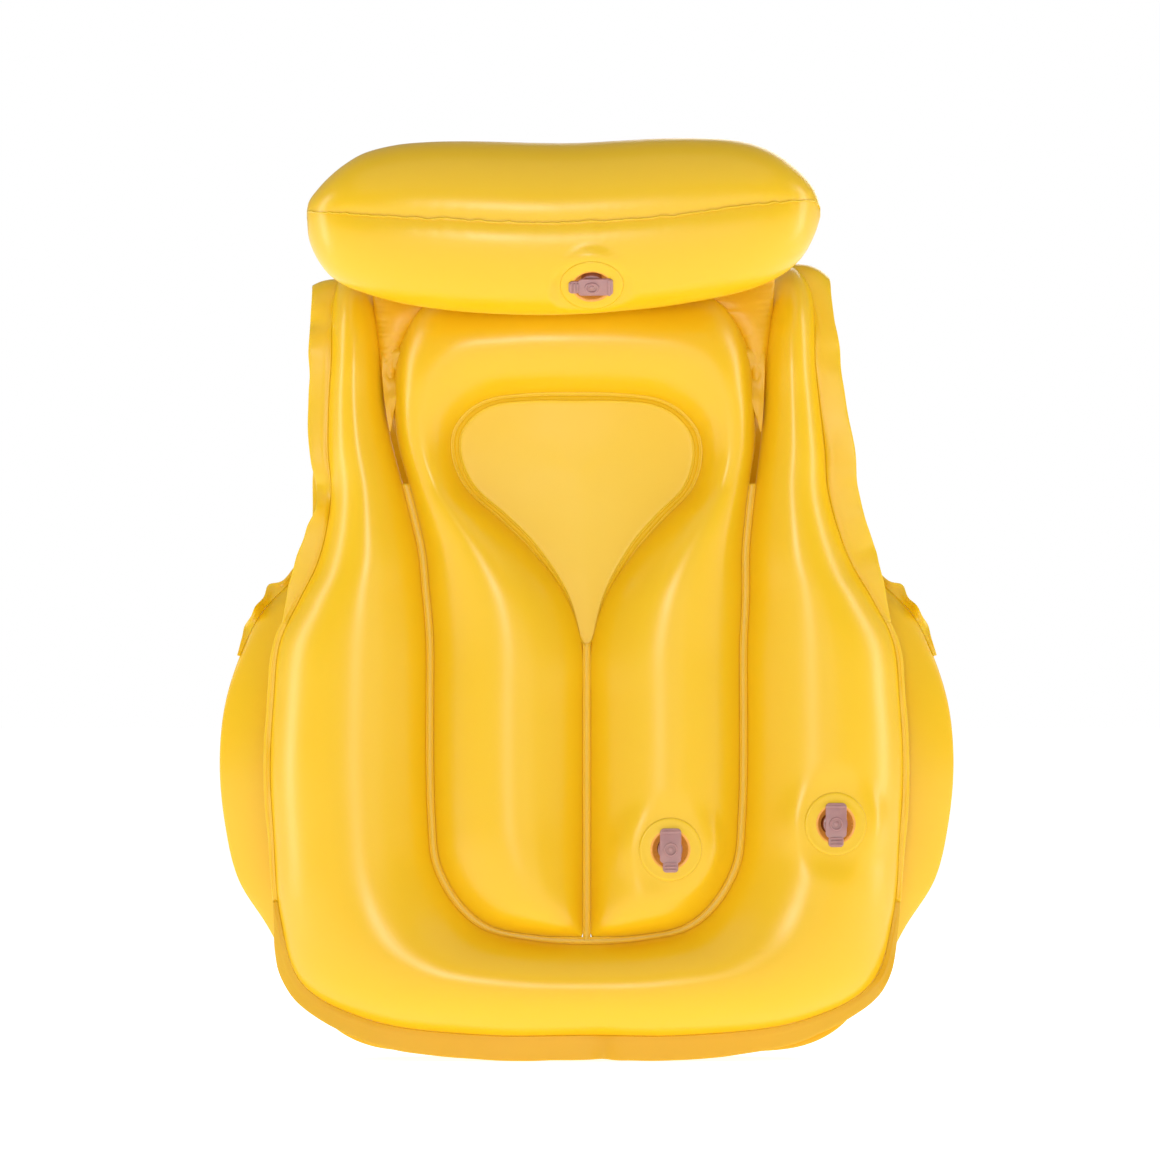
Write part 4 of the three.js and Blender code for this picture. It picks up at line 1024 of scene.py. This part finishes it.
def open_at(obj, valve, radius):
    """A round hole in a chamber's film for a valve's cup."""
    turn, middle = seat_of(valve)
    across = Matrix.Rotation(math.pi / 2, 4, "X")
    bm = bmesh.new()
    bmesh.ops.create_cone(
        bm, cap_ends=True, segments=64, radius1=radius * MM, radius2=radius * MM, depth=HOLE_LONG,
    )
    bmesh.ops.transform(bm, matrix=Matrix.Translation(middle) @ turn @ across, verts=bm.verts)
    mesh = bpy.data.meshes.new("cup_hole")
    bm.to_mesh(mesh)
    bm.free()
    tool = bpy.data.objects.new("cup_hole", mesh)
    bpy.context.scene.collection.objects.link(tool)
    hole = obj.modifiers.new("hole", "BOOLEAN")
    hole.operation, hole.solver, hole.object = "DIFFERENCE", "EXACT", tool
    bpy.context.view_layer.update()
    cut = bpy.data.meshes.new_from_object(obj.evaluated_get(bpy.context.evaluated_depsgraph_get()))
    obj.modifiers.clear()
    old, name = obj.data, obj.data.name
    obj.data = cut
    bpy.data.meshes.remove(old)
    cut.name = name
    bpy.data.objects.remove(tool)


for valve in VALVES:
    host = "head_pillow" if valve == "pillow" else "back_panel"
    seat_bm = valve_seat()
    # The cup takes the seat's painted shade and glow; the disc round it takes the film.
    for face in seat_bm.faces:
        middle = face.calc_center_median()
        face.material_index = 1 if math.hypot(middle.x, middle.z) > CUP + 0.9 else 0
    seat = finished(placed(seat_bm, valve), f"valve_seat_{valve}", VALVE_SEAT_SHADE_AND_GLOW, host, "valve", f"valve_{valve}_base")
    seat.data.materials.append(FILM)
    moving = (
        (valve_stem, "tube", VALVE, "stem"),
        (valve_flap, "check", FLAP, "check_flap"),
        (valve_stopper, "plug", VALVE, "stopper"),
    )
    for shape, called, material, body in moving:
        node = f"valve_{valve}_{body.removeprefix('check_')}"
        finished(placed(shape(), valve), f"valve_{called}_{valve}", material, f"{body}_{valve}", "valve", node)

# ---------------------------------------------------------------- straps and buckles


FLAT, SHARP = 1, 35  # degrees between faces: flat enough to merge, sharp enough to soften


def refined(node, name, material, body, slot, soften, segments=2):
    """A node's own shape with its doubles merged and its sharp edges softened."""
    bm = bmesh.new()
    bm.from_mesh(frame["nodes"][node].data)
    bmesh.ops.remove_doubles(bm, verts=bm.verts, dist=MERGE)
    bmesh.ops.dissolve_limit(bm, angle_limit=math.radians(FLAT), verts=bm.verts, edges=bm.edges)
    sharp = [e for e in bm.edges if len(e.link_faces) == 2 and e.calc_face_angle(0) > math.radians(SHARP)]
    bmesh.ops.bevel(
        bm, geom=sharp, offset=soften * MM, segments=segments, profile=0.5, affect="EDGES", material=-1,
        clamp_overlap=True,
    )
    finished(bm, name, material, body, slot, node)


for level in LEVELS:
    for side in SIDES:
        body = f"front_panel_{side}"
        refined(f"strap_patch_{level}_{side}", f"patch_{level}_{side}", PANEL_FILM, body, "film", 0.4)
        refined(f"strap_{level}_{side}", f"webbing_{level}_{side}", WEBBING, body, "webbing", 0.3)
    refined(f"buckle_socket_{level}", f"buckle_housing_{level}", BUCKLE, "front_panel_left", "buckle", 0.5, 3)
    refined(f"buckle_clip_{level}", f"buckle_prongs_{level}", BUCKLE, f"clip_{level}", "buckle", 0.5, 3)

# ---------------------------------------------------------------- stage, light and camera


def studio_floor():
    """A pale floor, nearly as bright as the white round it."""
    bm = bmesh.new()
    bmesh.ops.create_grid(bm, x_segments=1, y_segments=1, size=20)
    mesh = bpy.data.meshes.new("studio_floor")
    bm.to_mesh(mesh)
    bm.free()
    material, _, shader = nodes_of("pale_floor")
    shader.inputs["Base Color"].default_value = (0.92, 0.92, 0.92, 1)
    shader.inputs["Roughness"].default_value = 0.9
    shader.inputs["Specular IOR Level"].default_value = 0.0
    shader.inputs["Emission Color"].default_value = (1, 1, 1, 1)
    shader.inputs["Emission Strength"].default_value = 0.8
    mesh.materials.append(material)
    floor = bpy.data.objects.new("studio_floor", mesh)
    bpy.context.scene.collection.objects.link(floor)


MIDDLE = Vector((0, 0, 0.28))  # the jacket's middle, where the lights point


def softbox(name, place, width, height, power):
    light = bpy.data.lights.new(name, "AREA")
    light.shape = "RECTANGLE"
    light.size, light.size_y, light.energy = width, height, power
    obj = bpy.data.objects.new(name, light)
    obj.location = place
    obj.rotation_mode = "QUATERNION"
    obj.rotation_quaternion = (MIDDLE - Vector(place)).to_track_quat("-Z", "Y")
    bpy.context.scene.collection.objects.link(obj)


studio_floor()
softbox("key_front", (-0.22, -3.0, 0.66), 0.46, 0.5, 14.5)
softbox("fill_low", (0.9, -2.4, 0.2), 0.9, 0.9, 2)
softbox("strip_left", (-1.5, 0.05, 0.45), 0.3, 1.5, 7)
softbox("strip_right", (1.5, 0.05, 0.45), 0.3, 1.5, 7)
softbox("overhead", (0, -1.2, 2.3), 3.6, 2.4, 15)
softbox("front_fill", (0.6, 2.4, 1.2), 1.2, 1.2, 12)

world = bpy.data.worlds.new("studio")
world.use_nodes = True
sky = world.node_tree.nodes["Background"]
sky.inputs["Color"].default_value = (1, 1, 1, 1)
rays = world.node_tree.nodes.new("ShaderNodeLightPath")
strength = world.node_tree.nodes.new("ShaderNodeMapRange")
strength.inputs["To Min"].default_value = 0.32  # as light on the jacket
strength.inputs["To Max"].default_value = 1.0  # as seen behind it
world.node_tree.links.new(rays.outputs["Is Camera Ray"], strength.inputs["Value"])
world.node_tree.links.new(strength.outputs["Result"], sky.inputs["Strength"])
bpy.context.scene.world = world
bpy.context.scene.view_settings.view_transform = "Standard"

camera = bpy.data.cameras.new("camera")
camera.lens, camera.sensor_width = 465, 36
viewer = bpy.data.objects.new("camera", camera)
viewer.location = (-0.004, -9.0, 0.2885)
viewer.rotation_euler = (math.radians(90), 0, 0)
bpy.context.scene.collection.objects.link(viewer)
bpy.context.scene.camera = viewer

# Last of all, each chamber is drawn flat and opened where its valve sits.
for chamber, valve in ((inner, "inner"), (outer, "outer"), (pillow, "pillow")):
    seat_in(chamber, valve)
    open_at(chamber, valve, CUP + 0.6)
